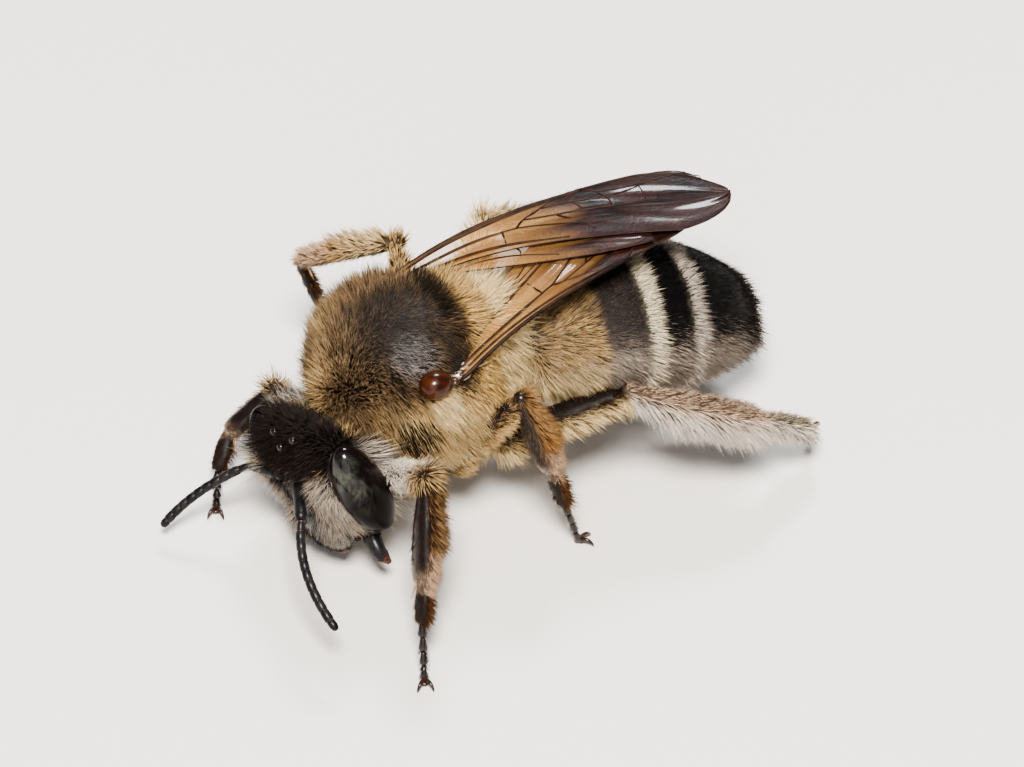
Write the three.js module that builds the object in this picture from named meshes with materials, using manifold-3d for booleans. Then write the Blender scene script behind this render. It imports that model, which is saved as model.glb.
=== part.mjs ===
// Hairy digger bee, life size, standing. Millimetres, +Z up; the bee faces -Y and its left side is +X.
// Each solid is the outer form of its part: on the furred parts that is the outside of the coat.
import * as THREE from "three";
import { mergeVertices } from "three/addons/utils/BufferGeometryUtils.js";
import Module from "manifold-3d";

const wasm = await Module();
wasm.setup();

const RAD = Math.PI / 180;
const GAP = 0.03; // clear space between neighbouring parts

// ---- Stance: the trunk's centre above the floor, leaning to the bee's right with the nose slightly up
const TRUNK_HEIGHT = 4.25;
const TRUNK_ROLL = -8;
const TRUNK_PITCH = -2.9;

// ---- Thorax, in the trunk frame: x to the left, y to the rear, z up
const THORAX_AT = [0, 0, -0.12];
const THORAX_RADII = [2.98, 3.0, 2.78];
const THORAX_REAR_TAPER = 0.1;
const SCUTELLUM_AT = [0, 1.8, 1.2];
const SCUTELLUM_RADII = [1.55, 1.0, 0.95];
const TEGULA_AT = [2.5, -0.49, 1.07];
const TEGULA_RADII = [0.42, 0.52, 0.4];

// ---- Abdomen: six rings along an axis that sinks and swings to the bee's right towards the tail
const ABDOMEN_START = [-0.05, 2.55, -0.05];
const ABDOMEN_LENGTH = 7.4;
const ABDOMEN_WIDTH = 5.4;
const ABDOMEN_DEPTH = 3.95;
const ABDOMEN_WAIST = 0.6; // width at the front as a share of the greatest width
const ABDOMEN_WIDEST = 0.42;
const ABDOMEN_PITCH = [-3, 28];
const ABDOMEN_YAW = [2, 8];
const RING_ENDS = [0, 0.25, 0.45, 0.62, 0.77, 0.9, 1];
const RING_LIP = 0.05;

// ---- Head, in its own frame: x to the left, y to the rear, z up
const HEAD_AT = [0.85, -2.91, -1.98];
const HEAD_TURN = { pitch: 22, roll: -14, yaw: 17 };
const HEAD_RADII = [2.25, 1.2, 1.95];
const EYE_AT = [1.85, -0.07, 0.14];
const EYE_RADII = [0.64, 0.7, 1.35];
const EYE_TILT = 8;
const CLYPEUS_AT = [0, -0.75, -1.15];
const CLYPEUS_RADII = [1.1, 0.5, 0.92];
const OCELLI = [
  [0, -0.62, 1.5],
  [0.42, -0.4, 1.68],
  [-0.42, -0.4, 1.68],
];
const OCELLUS_RADIUS = 0.16;
const MANDIBLES = {
  left: { hinge: [1.2, -0.25, -1.62], tip: [1.5, -0.35, -2.35] },
  right: { hinge: [-1.15, -0.3, -1.5], tip: [-0.75, -0.75, -1.95] },
};
const MANDIBLE_RADII = [0.3, 0.27];
const PROBOSCIS = { front: [0, -0.25, -1.85], back: [0, 0.95, -1.35], thick: 0.28 };
const FEELER_RADIUS = 0.25;
const FEELERS = {
  left: {
    socket: [0.45, -0.95, 0.65],
    elbow: [1.69, -1.78, 0.65],
    bow: [2.17, -2.9, -0.1],
    tip: [3.4, -3.17, -1.39],
  },
  right: {
    socket: [-0.45, -0.95, 0.65],
    elbow: [-1.71, -0.96, 0.54],
    bow: [-2.7, -2.27, 0.55],
    tip: [-3.15, -3.44, 0.04],
  },
};

// ---- Wings: thin sheets that follow one rising surface, the left pair below the right pair
const WING_THICK = 0.5;
const WING_LENGTH = 8.9;
const WING_ROOT = [2.35, 0.25, 0.85];
const WING_RISE = 2.0;
const WING_RISE_LENGTH = 3.0;
const WING_LIFT = { left: -0.27, right: 0.27 };
const WING_SWING = { left: 11, right: 6 };
const FOREWING_ROOT_CHORD = 0.45;
const FOREWING_CHORD = 2.8;
const FOREWING_WIDEST = 0.8;
const HINDWING_SPAN = [0.2, 0.72];
const HINDWING_SHOWS = 0.6;

// ---- Legs: joints in the trunk frame, the toe set down on the floor; half width of tibia and basitarsus
const TOE_LIFT = 0.13;
const TARSUS_RADIUS = 0.27;
const CLAW_LENGTH = 0.42;
const LEGS = {
  front_left: {
    coxa: [1.2, -1.6, -2.2],
    knee: [4.2, -1.54, -0.42],
    ankle: [5.2, -2.09, -2.85],
    heel: [5.6, -2.33, -3.74],
    toe: [6.1, -2.5, -5.2],
    tibia: 0.5,
    brush: 0.4,
  },
  middle_left: {
    coxa: [1.3, 0.3, -2.3],
    knee: [2.9, 1.7, 0.25],
    ankle: [3.3, 2.37, -1.83],
    heel: [3.3, 2.73, -3.09],
    toe: [3.2, 3.2, -4.5],
    tibia: 0.58,
    brush: 0.45,
  },
  hind_left: {
    coxa: [1.3, 1.8, -2.0],
    knee: [2.7, 4.8, -0.6],
    ankle: [3.4, 8.2, -2.0],
    heel: [3.0, 9.9, -3.0],
    toe: [2.0, 10.5, -4.2],
    tibia: 0.72,
    brush: 0.52,
  },
  front_right: {
    coxa: [-1.2, -1.6, -2.2],
    knee: [-2.5, -2.79, -1.54],
    ankle: [-2.6, -4.1, -2.6],
    heel: [-2.2, -4.6, -3.4],
    toe: [-1.72, -4.86, -4.2],
    tibia: 0.45,
    brush: 0.38,
  },
  middle_right: {
    coxa: [-1.3, 0.3, -2.3],
    knee: [-3.8, 1.3, 1.1],
    ankle: [-5.1, -0.95, 0.4],
    heel: [-5.0, -0.4, -1.2],
    toe: [-4.9, 0.6, -3.3],
    tibia: 0.46,
    brush: 0.4,
  },
  hind_right: {
    coxa: [-1.3, 1.8, -2.0],
    knee: [-4.3, 4.0, 0.7],
    ankle: [-4.9, 6.8, -1.2],
    heel: [-4.8, 8.0, -2.3],
    toe: [-4.6, 8.9, -3.2],
    tibia: 0.72,
    brush: 0.52,
  },
};

// ---- Colours
const BLACK = "#151413";
const FAWN = "#a18a5c";
const CREAM = "#cfc4a4";
const BROWN = "#3a2416";
const AMBER = "#6a3312";
const GREY = "#55504a";
const SMOKE = "#4f3320";
const EYE_BLACK = "#1d2320";
const RING_COLOURS = [FAWN, GREY, BLACK, BLACK, BLACK, BROWN];

const vec = (a) => new THREE.Vector3(...a);
const mix = (pair, s) => pair[0] + (pair[1] - pair[0]) * s;
const series = (from, to, n) => Array.from({ length: n + 1 }, (_, i) => mix([from, to], i / n));
const grown = (radii, by) => radii.map((r) => r + by);
const turned = (x, y, z, order) =>
  new THREE.Matrix4().makeRotationFromEuler(new THREE.Euler(x * RAD, y * RAD, z * RAD, order));

const TRUNK = new THREE.Matrix4()
  .makeTranslation(0, 0, TRUNK_HEIGHT)
  .multiply(turned(TRUNK_PITCH, TRUNK_ROLL, 0, "YXZ"));
const HEAD = TRUNK.clone()
  .multiply(new THREE.Matrix4().makeTranslation(...HEAD_AT))
  .multiply(turned(HEAD_TURN.pitch, HEAD_TURN.roll, HEAD_TURN.yaw, "ZXY"));

const inTrunk = (a) => vec(a).applyMatrix4(TRUNK);
const inHead = (a) => vec(a).applyMatrix4(HEAD);
const placed = (solid, matrix) => solid.transform(matrix.elements);
const largest = (solid) => solid.decompose().sort((a, b) => b.volume() - a.volume())[0];

// A closed solid through equal rings of points, with a single point at each end.
function solidOf(rings, first, last) {
  const n = rings[0].length;
  const points = [first, ...rings.flat(), last];
  const at = (r, i) => 1 + r * n + (i % n);
  const faces = [];
  for (let i = 0; i < n; i += 1) {
    faces.push([0, at(0, i + 1), at(0, i)]);
    faces.push([points.length - 1, at(rings.length - 1, i), at(rings.length - 1, i + 1)]);
    for (let r = 0; r + 1 < rings.length; r += 1) {
      faces.push([at(r, i), at(r, i + 1), at(r + 1, i)]);
      faces.push([at(r, i + 1), at(r + 1, i + 1), at(r + 1, i)]);
    }
  }
  const build = (list) =>
    new wasm.Manifold(
      new wasm.Mesh({
        numProp: 3,
        vertProperties: new Float32Array(points.flatMap((p) => [p.x, p.y, p.z])),
        triVerts: new Uint32Array(list.flat()),
      }),
    );
  const made = build(faces);
  return made.volume() > 0 ? made : build(faces.map(([a, b, c]) => [b, a, c]));
}

// A rounded body: its radii, and a function of the unit direction that swells it or draws it in.
function blob(centre, radii, rows, columns, swell = () => 1, tilt = new THREE.Matrix4()) {
  const spot = (u, w) => {
    const d = new THREE.Vector3().setFromSphericalCoords(1, Math.PI * u, 2 * Math.PI * w);
    d.set(d.z, d.x, d.y);
    return d.clone().multiply(vec(radii)).multiplyScalar(swell(d)).applyMatrix4(tilt).add(vec(centre));
  };
  const rings = series(0, 1, rows)
    .slice(1, -1)
    .map((u) => Array.from({ length: columns }, (_, i) => spot(u, i / columns)));
  return solidOf(rings, spot(0, 0), spot(1, 0));
}

// A limb through stations [point, half width, half depth]: the width lies across `flat` and the ends
// are round.
function limb(stations, sides, flat, grow = 0) {
  const spots = stations.map(([p, w, d]) => ({ p, w: w + grow, d: d + grow }));
  const heading = (i) =>
    spots[Math.min(i + 1, spots.length - 1)].p
      .clone()
      .sub(spots[Math.max(i - 1, 0)].p)
      .normalize();
  const ring = (i, scale, push) => {
    const { p, w, d } = spots[i];
    const t = heading(i);
    const across = new THREE.Vector3().crossVectors(t, flat).normalize();
    const over = new THREE.Vector3().crossVectors(across, t);
    return Array.from({ length: sides }, (_, k) =>
      p
        .clone()
        .addScaledVector(t, push * Math.min(w, d))
        .addScaledVector(across, scale * w * Math.cos((2 * Math.PI * k) / sides))
        .addScaledVector(over, scale * d * Math.sin((2 * Math.PI * k) / sides)),
    );
  };
  const pole = (i, push) =>
    spots[i].p.clone().addScaledVector(heading(i), push * Math.min(spots[i].w, spots[i].d));
  const end = spots.length - 1;
  const rings = [ring(0, 0.75, -0.5), ...spots.map((_, i) => ring(i, 1, 0)), ring(end, 0.75, 0.5)];
  return solidOf(rings, pole(0, -0.8), pole(end, 0.8));
}

// ---- Thorax
const thoraxSwell = (d) => 1 - THORAX_REAR_TAPER * Math.max(d.y, 0) ** 2;
const thoraxSolid = (grow) =>
  placed(blob(THORAX_AT, grown(THORAX_RADII, grow), 13, 22, thoraxSwell), TRUNK);
const scutellumSolid = (grow) =>
  placed(blob(SCUTELLUM_AT, grown(SCUTELLUM_RADII, grow), 7, 12), TRUNK);
const tegulaSolid = (side, grow) =>
  placed(blob([side * TEGULA_AT[0], TEGULA_AT[1], TEGULA_AT[2]], grown(TEGULA_RADII, grow), 6, 8), TRUNK);
const mesosoma = (grow) => thoraxSolid(grow).add(scutellumSolid(grow));

// ---- Abdomen
const abdomenFullness = (s) =>
  s < ABDOMEN_WIDEST
    ? mix([ABDOMEN_WAIST, 1], Math.sin((Math.PI / 2) * (s / ABDOMEN_WIDEST)))
    : Math.sqrt(1 - ((s - ABDOMEN_WIDEST) / (1 - ABDOMEN_WIDEST)) ** 2.6);
function abdomenHeading(s) {
  const pitch = mix(ABDOMEN_PITCH, s) * RAD;
  const yaw = mix(ABDOMEN_YAW, s) * RAD;
  return new THREE.Vector3(-Math.sin(yaw), Math.cos(yaw), 0)
    .multiplyScalar(Math.cos(pitch))
    .setZ(-Math.sin(pitch));
}
function abdomenAxis(s) {
  const steps = 24;
  const p = vec(ABDOMEN_START);
  for (let i = 0; i < steps; i += 1)
    p.addScaledVector(abdomenHeading(((i + 0.5) / steps) * s), (ABDOMEN_LENGTH * s) / steps);
  return p;
}
function abdomenSection(s, sides, inset) {
  const across = new THREE.Vector3(0, 0, 1).cross(abdomenHeading(s)).normalize();
  const over = abdomenHeading(s).cross(across);
  const full = abdomenFullness(Math.min(s, 0.98));
  const w = (ABDOMEN_WIDTH / 2) * full - inset;
  const d = (ABDOMEN_DEPTH / 2) * full - inset;
  return Array.from({ length: sides }, (_, k) =>
    abdomenAxis(s)
      .addScaledVector(across, w * Math.cos((2 * Math.PI * k) / sides))
      .addScaledVector(over, d * Math.sin((2 * Math.PI * k) / sides)),
  );
}
function abdomenRing(i) {
  const half = GAP / 2 / ABDOMEN_LENGTH;
  const from = RING_ENDS[i] + (i > 0 ? half : 0);
  const to = RING_ENDS[i + 1] - (i < 5 ? half : 0);
  const rings = series(0, 1, 3).map((u) => abdomenSection(mix([from, to], u), 24, RING_LIP * (1 - u)));
  return placed(solidOf(rings, abdomenAxis(from), abdomenAxis(to)), TRUNK);
}

// ---- Head
const headSwell = (d) =>
  (1 - 0.1 * Math.max(d.y, 0) ** 2) * (1 - 0.1 * Math.max(-d.z, 0) * Math.abs(d.x));
const skull = () => placed(blob([0, 0, 0], HEAD_RADII, 11, 20, headSwell), HEAD);
const ocelli = () =>
  OCELLI.map((at) => placed(blob(at, Array(3).fill(OCELLUS_RADIUS), 4, 5), HEAD));
const eyeSolid = (side, grow) =>
  placed(
    blob(
      [side * EYE_AT[0], EYE_AT[1], EYE_AT[2]],
      grown(EYE_RADII, grow),
      8,
      12,
      undefined,
      turned(0, side * EYE_TILT, 0, "XYZ"),
    ),
    HEAD,
  );
const clypeusSolid = (grow) => placed(blob(CLYPEUS_AT, grown(CLYPEUS_RADII, grow), 8, 14), HEAD);
const sided = (a, side) => [side * a[0], a[1], a[2]];
const headUp = new THREE.Vector3(0, 0, 1).transformDirection(HEAD);
const headLeft = new THREE.Vector3(1, 0, 0).transformDirection(HEAD);
const mandibleSolid = (word, grow) => {
  const [base, end] = MANDIBLE_RADII;
  const { hinge, tip } = MANDIBLES[word];
  return limb([[inHead(hinge), base, base], [inHead(tip), end, end]], 8, headLeft, grow);
};
const proboscisSolid = (grow) => {
  const r = PROBOSCIS.thick;
  return limb([[inHead(PROBOSCIS.front), r, r], [inHead(PROBOSCIS.back), r, r]], 8, headUp, grow);
};
const neckSolid = (grow) =>
  limb([[inTrunk([0.3, -1.7, -1.1]), 0.45, 0.45], [inHead([0, 0.35, 0.1]), 0.45, 0.45]], 8, headUp, grow);

// ---- Wings
const wingHeight = (back) => WING_RISE * (1 - Math.exp(-Math.max(back, 0) / WING_RISE_LENGTH));
const costalMargin = (s) => 1.55 * (Math.max(0, s - 0.74) / 0.26) ** 2.2;
const foreMargin = (s) => {
  const grow = Math.min(s / FOREWING_WIDEST, 1) ** 1.15;
  const round = Math.sqrt(1 - (Math.max(0, s - FOREWING_WIDEST) / (1 - FOREWING_WIDEST)) ** 2);
  const chord = mix([FOREWING_ROOT_CHORD, FOREWING_CHORD], grow);
  return 1.55 + (chord - 1.55) * (s > FOREWING_WIDEST ? round : 1);
};
const hindMargin = (s) => {
  const u = (s - HINDWING_SPAN[0]) / (HINDWING_SPAN[1] - HINDWING_SPAN[0]);
  return foreMargin(s) + 2 * GAP + HINDWING_SHOWS * Math.sin(Math.PI * mix([0.06, 0.94], u)) ** 0.7;
};
function wingSheet(side, stations, edges) {
  const name = side > 0 ? "left" : "right";
  const swing = WING_SWING[name] * RAD;
  const along = new THREE.Vector3(-side * Math.sin(swing), Math.cos(swing), 0);
  const inward = new THREE.Vector3(-side * Math.cos(swing), -Math.sin(swing), 0);
  const spot = (s, t, lift) => {
    const p = vec(sided(WING_ROOT, side))
      .addScaledVector(along, s * WING_LENGTH)
      .addScaledVector(inward, t);
    p.z += wingHeight(p.y - WING_ROOT[1]) + WING_LIFT[name] + lift;
    return p;
  };
  const half = WING_THICK / 2;
  const rings = stations.map((s) => {
    const [a, b] = edges(s);
    const row = [a, (a + b) / 2, b];
    return [...row.map((t) => spot(s, t, half)), ...row.reverse().map((t) => spot(s, t, -half))];
  });
  const middle = (s) => spot(s, (edges(s)[0] + edges(s)[1]) / 2, 0);
  const body = solidOf(rings, middle(stations[0]), middle(stations[stations.length - 1]));
  return placed(body, TRUNK);
}
const foreWing = (side) => {
  const stations = [...series(0, 0.76, 10), 0.81, 0.86, 0.91, 0.95, 0.98, 0.995];
  return wingSheet(side, stations, (s) => [costalMargin(s), foreMargin(s)]);
};
const hindWing = (side) =>
  wingSheet(side, series(...HINDWING_SPAN, 8), (s) => [foreMargin(s) + GAP, hindMargin(s)]);

// ---- Parts
const parts = [];
const add = (name, solid, colour, roughness = 0.7) =>
  parts.push({ name, solid: largest(solid), colour, roughness });

const body = mesosoma(GAP);
let head = skull().subtract(body).subtract(clypeusSolid(GAP));
for (const side of [1, -1]) head = head.subtract(eyeSolid(side, GAP));
for (const word of ["left", "right"]) head = head.subtract(mandibleSolid(word, GAP));
for (const ocellus of ocelli()) head = head.add(ocellus);
head = head.subtract(proboscisSolid(GAP)).subtract(neckSolid(GAP));
add("head", head, BLACK);
add("clypeus", clypeusSolid(0).subtract(proboscisSolid(GAP)), BLACK, 0.4);
add("neck", neckSolid(0), BLACK);
add("proboscis", proboscisSolid(0), AMBER, 0.4);
add("thorax", [1, -1].reduce((t, side) => t.subtract(tegulaSolid(side, GAP)), thoraxSolid(0))
  .subtract(scutellumSolid(GAP)).subtract(neckSolid(GAP)), FAWN);
add("scutellum", scutellumSolid(0), CREAM);
for (let i = 0; i < 6; i += 1)
  add("abdomen_" + (i + 1), i ? abdomenRing(i) : abdomenRing(i).subtract(body), RING_COLOURS[i]);

for (const [word, side] of [["left", 1], ["right", -1]]) {
  add("eye_" + word, eyeSolid(side, 0).subtract(body), EYE_BLACK, 0.15);
  add("mandible_" + word, mandibleSolid(word, 0).subtract(clypeusSolid(GAP)), BLACK, 0.3);
  add("tegula_" + word, tegulaSolid(side, 0), AMBER, 0.2);
  add("forewing_" + word, foreWing(side).subtract(body), SMOKE, 0.3);
  add("hindwing_" + word, hindWing(side).subtract(body), SMOKE, 0.3);
}

// A leg segment between two joints, thickest in its middle.
function segment(a, b, root, middle, tip, grow = 0) {
  const down = Math.abs(b.clone().sub(a).normalize().z) > 0.85;
  const flat = down ? new THREE.Vector3(0, 1, 0) : new THREE.Vector3(0, 0, 1);
  const stations = [[0.06, root], [0.45, middle], [0.94, tip]];
  return limb(stations.map(([t, w]) => [a.clone().lerp(b, t), w, 0.88 * w]), 8, flat, grow);
}
function clawed(heel, toe) {
  const ahead = toe.clone().sub(heel).setZ(0).normalize();
  const down = new THREE.Vector3(0, 0, 1);
  const r = TARSUS_RADIUS;
  let foot = limb([[heel.clone().lerp(toe, 0.12), r, r], [toe, r, r]], 6, ahead);
  for (const turn of [28, -28]) {
    const reach = ahead.clone().applyAxisAngle(down, turn * RAD).multiplyScalar(CLAW_LENGTH);
    const tip = toe.clone().add(reach).setZ(0.1);
    foot = foot.add(limb([[toe, 0.16, 0.16], [tip, 0.09, 0.09]], 4, down));
  }
  return foot.trimByPlane([0, 0, 1], 0);
}
const chest = body.add(skull()).add(abdomenRing(0)).add(abdomenRing(1));
for (const [name, leg] of Object.entries(LEGS)) {
  const [coxa, knee, ankle, heel, toe] = [leg.coxa, leg.knee, leg.ankle, leg.heel, leg.toe].map(inTrunk);
  toe.z = TOE_LIFT;
  const thigh = (grow) => segment(coxa, knee, 0.4, 0.45, 0.32, grow);
  const shin = (grow) => segment(knee, ankle, 0.3, leg.tibia, 0.9 * leg.tibia, grow);
  const brush = (grow) => segment(ankle, heel, leg.brush, leg.brush, 0.85 * leg.brush, grow);
  add("femur_" + name, thigh(0).subtract(chest), BROWN);
  const shinColour = name.startsWith("hind") ? CREAM : BROWN;
  add("tibia_" + name, shin(0).subtract(thigh(GAP)).subtract(chest), shinColour);
  add("basitarsus_" + name, brush(0).subtract(shin(GAP)), BROWN);
  add("tarsus_" + name, clawed(heel, toe).subtract(brush(GAP)), BLACK);
}

// Feelers: a straight scape and a bowed flagellum
for (const [word, feeler] of Object.entries(FEELERS)) {
  const r = FEELER_RADIUS;
  const [socket, elbow, bow, tip] = [feeler.socket, feeler.elbow, feeler.bow, feeler.tip].map(inHead);
  const scape = (grow) => limb([[socket, r, r], [elbow, r, r]], 8, headUp, grow);
  const curve = new THREE.QuadraticBezierCurve3(elbow, bow, tip);
  const stations = series(0.06, 1, 7).map((t) => [curve.getPoint(t), r, r]);
  const cut = skull().add(eyeSolid(1, GAP)).add(eyeSolid(-1, GAP));
  add("scape_" + word, scape(0).subtract(cut), BLACK, 0.3);
  add("flagellum_" + word, limb(stations, 8, headLeft).subtract(scape(GAP)), BLACK, 0.4);
}

function meshOf({ name, solid, colour, roughness }) {
  const raw = solid.getMesh();
  const geometry = new THREE.BufferGeometry();
  geometry.setAttribute("position", new THREE.BufferAttribute(raw.vertProperties, raw.numProp));
  geometry.setIndex(new THREE.BufferAttribute(raw.triVerts, 1));
  const merged = mergeVertices(geometry, 1e-3);
  merged.computeVertexNormals();
  const mesh = new THREE.Mesh(
    merged,
    new THREE.MeshStandardMaterial({ color: colour, roughness, metalness: 0 }),
  );
  mesh.name = name;
  return mesh;
}

const group = new THREE.Group();
group.name = "bee";
for (const part of parts) group.add(meshOf(part));
const box = new THREE.Box3().setFromObject(group);
const middle = box.getCenter(new THREE.Vector3());
group.position.set(-middle.x, -middle.y, -box.min.z);

export default group;
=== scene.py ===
# %% [markdown]
# # A furry digger bee, life size
# This lesson dresses a plain solid model of a bee until it looks like a museum specimen. The solids
# give the stance and the outline. Everything you see is made here: a dark shell under the coat, the
# eyes, the wings with their veins, the jointed feet, and a coat of solid hairs that grow on the shell.
# One random generator with a fixed seed serves the whole file, so every run gives the same bee.

# %% Load the solid model and remember its box
import copy
import math

import bpy
import numpy as np
from mathutils import Matrix, Vector
from mathutils.kdtree import KDTree


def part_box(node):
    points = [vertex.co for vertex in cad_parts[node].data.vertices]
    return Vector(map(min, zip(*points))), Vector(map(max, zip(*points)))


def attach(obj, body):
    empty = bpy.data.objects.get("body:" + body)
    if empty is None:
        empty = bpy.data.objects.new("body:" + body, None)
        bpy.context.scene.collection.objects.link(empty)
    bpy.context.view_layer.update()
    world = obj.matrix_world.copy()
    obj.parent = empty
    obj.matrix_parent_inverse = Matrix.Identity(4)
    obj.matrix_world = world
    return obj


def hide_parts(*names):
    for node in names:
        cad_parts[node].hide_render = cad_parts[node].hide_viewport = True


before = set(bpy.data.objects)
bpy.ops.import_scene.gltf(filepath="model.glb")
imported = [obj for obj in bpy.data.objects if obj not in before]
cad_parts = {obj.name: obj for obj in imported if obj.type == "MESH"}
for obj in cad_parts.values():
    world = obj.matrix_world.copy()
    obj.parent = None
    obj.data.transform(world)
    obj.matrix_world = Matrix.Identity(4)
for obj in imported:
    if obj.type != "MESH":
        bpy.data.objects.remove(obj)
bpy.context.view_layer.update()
SEED = np.random.default_rng(11)

# %% [markdown]
# ## Working in millimetres
# A bee is so small that several of Blender's tools, such as the remesher, refuse its real size. So
# every piece is modelled at one unit to the millimetre, in the bee's own trunk frame (x to its left,
# y to its rear, z up), and brought to life size and into its stance when it is finished. The stance
# is found from the solids: the two wing-root plates tell where the trunk stands.

# %% The trunk's stance on the floor, and the head's place on the trunk
MM = 0.001
TRUNK_HEIGHT = 4.25
TRUNK_ROLL, TRUNK_PITCH = -8, -2.9
TEGULA_AT = Vector((2.5, -0.49, 1.07))
TEGULA_RADII = (0.42, 0.52, 0.4)
HEAD_AT = (0.85, -2.91, -1.98)
HEAD_PITCH, HEAD_ROLL, HEAD_YAW = 22, -14, 17


def turn(degrees, axis):
    return Matrix.Rotation(math.radians(degrees), 4, axis)


def middle(node):
    low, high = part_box(node)
    return (low + high) / 2 / MM


STANCE = Matrix.Translation((0, 0, TRUNK_HEIGHT)) @ turn(TRUNK_ROLL, "Y") @ turn(TRUNK_PITCH, "X")
between_tegulae = (middle("tegula_left") + middle("tegula_right")) / 2
STANCE = Matrix.Translation(between_tegulae - STANCE @ Vector((0, *TEGULA_AT[1:]))) @ STANCE
HEAD = (
    Matrix.Translation(HEAD_AT) @ turn(HEAD_YAW, "Z") @ turn(HEAD_PITCH, "X") @ turn(HEAD_ROLL, "Y")
)
print("trunk stands at", STANCE.translation)


# %% [markdown]
# ## Camera, floor and light
# The camera looks down on the bee's left side from in front, from far enough for a close-up lens. A
# warm key lamp models the coat and a large cool one fills the shadows. A third, behind the far side,
# stands where the wings mirror it, because only a mirrored lamp shows how thin and glossy they are.


# %% Camera
VIEW_RIGHT = Vector((0.423, 0.906, 0)).normalized()
VIEW_BACK = Vector((0.742, -0.346, 0.574)).normalized()
VIEW_UP = VIEW_BACK.cross(VIEW_RIGHT)
VIEW_CENTRE = 2.49 * VIEW_RIGHT - 0.47 * VIEW_UP
VIEW_DISTANCE = 200
VIEW_WIDTH = 26.3


def camera():
    data = bpy.data.cameras.new("camera")
    data.sensor_width = 36
    data.lens = data.sensor_width * VIEW_DISTANCE / VIEW_WIDTH
    data.clip_start, data.clip_end = 0.01, 10
    cam = bpy.data.objects.new("camera", data)
    bpy.context.collection.objects.link(cam)
    turned = Matrix((VIEW_RIGHT, VIEW_UP, VIEW_BACK)).transposed().to_4x4()
    place = STANCE @ Matrix.Translation(VIEW_CENTRE + VIEW_DISTANCE * VIEW_BACK) @ turned
    place.translation *= MM
    cam.matrix_world = place
    bpy.context.scene.camera = cam
    return cam


cam = camera()
print("camera at", cam.matrix_world.translation)


# %% Floor
FLOOR_SIZE = 1.2


def noted(mat):
    """The nodes, links and main shader of a material."""
    mat.use_nodes = True
    return mat.node_tree.nodes, mat.node_tree.links, mat.node_tree.nodes["Principled BSDF"]


def floor():
    bpy.ops.mesh.primitive_plane_add(size=FLOOR_SIZE, location=(0, 0, 0))
    plane = bpy.context.object
    plane.name = "floor"
    mat = bpy.data.materials.new("floor")
    shader = noted(mat)[2]
    shader.inputs["Base Color"].default_value = (0.72, 0.69, 0.65, 1)
    shader.inputs["Roughness"].default_value = 0.8
    plane.data.materials.append(mat)


floor()
print("floor is", FLOOR_SIZE, "m wide")


# %% Lamps and world
COOL_WHITE = (0.95, 0.97, 1)


def lamp(name, direction, distance, size, watts, colour):
    data = bpy.data.lights.new(name, "AREA")
    data.shape, data.size, data.energy, data.color = "DISK", size, watts, colour
    lit = bpy.data.objects.new(name, data)
    bpy.context.collection.objects.link(lit)
    way = Vector(direction).normalized()
    lit.location = way * distance
    lit.rotation_mode = "QUATERNION"
    lit.rotation_quaternion = way.to_track_quat("Z", "Y")


lamp("key", (0.5, -0.25, 1.0), 0.3, 0.09, 2.4, (1, 0.96, 0.91))
lamp("fill", (1.0, -0.6, 0.45), 0.35, 0.3, 0.38, COOL_WHITE)
lamp("back", (-0.55, 0.32, 0.78), 0.35, 0.09, 0.9, COOL_WHITE)
world = bpy.data.worlds.new("studio")
world.use_nodes = True
world.node_tree.nodes["Background"].inputs["Color"].default_value = (0.9, 0.92, 1, 1)
world.node_tree.nodes["Background"].inputs["Strength"].default_value = 0.2
bpy.context.scene.world = world
bpy.context.scene.view_settings.look = "AgX - Medium High Contrast"


# %% [markdown]
# ## A few helpers
# A ball is a sphere added at its place and size. A limb is a circle that is extruded and scaled ring by
# ring, then laid between two joints. Both are modelled with the operators used by hand. Operators act
# on all that is selected, so each helper first deselects everything.


# %% Start a piece: a ball or a limb
def deselect():
    if bpy.context.object and bpy.context.object.mode != "OBJECT":
        bpy.ops.object.mode_set(mode="OBJECT")
    bpy.ops.object.select_all(action="DESELECT")


def apply_place(obj):
    obj.data.transform(obj.matrix_world)
    obj.matrix_world = Matrix.Identity(4)
    return obj


def ball(centre, radii, segments=48, rings=32, place=Matrix()):
    """A closed ellipsoid with its poles on the z axis."""
    deselect()
    bpy.ops.mesh.primitive_uv_sphere_add(segments=segments, ring_count=rings, radius=1)
    obj = bpy.context.object
    obj.matrix_world = place @ Matrix.Translation(centre) @ Matrix.Diagonal((*radii, 1))
    return apply_place(obj)


def laid(a, b, flat=Vector((0, 0, 1))):
    """The frame at a whose z axis points to b and whose x axis lies across flat."""
    ahead = (b - a).normalized()
    across = ahead.cross(flat).normalized()
    over = ahead.cross(across)
    return Matrix.Translation(a) @ Matrix((across, over, ahead)).transposed().to_4x4()


def limb(a, b, stations, sides=16, flat=Vector((0, 0, 1))):
    """A rod from a to b through stations (share of the length, half width, half depth)."""
    deselect()
    length = (b - a).length
    first, *others = stations
    bpy.ops.mesh.primitive_circle_add(
        vertices=sides, radius=1, fill_type="NGON", location=(0, 0, first[0] * length)
    )
    obj = bpy.context.object
    bpy.ops.object.mode_set(mode="EDIT")
    bpy.ops.transform.resize(value=(first[1], first[2], 1), center_override=(0, 0, 0))
    before = first
    for now in others:
        step = (0, 0, (now[0] - before[0]) * length)
        bpy.ops.mesh.extrude_region_move(TRANSFORM_OT_translate={"value": step})
        ratio = (now[1] / before[1], now[2] / before[2], 1)
        bpy.ops.transform.resize(value=ratio, center_override=(0, 0, 0))
        before = now
    bpy.ops.mesh.select_all(action="SELECT")
    bpy.ops.mesh.normals_make_consistent(inside=False)
    bpy.ops.object.mode_set(mode="OBJECT")
    obj.matrix_world = laid(a, b, flat)
    return apply_place(obj)


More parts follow.
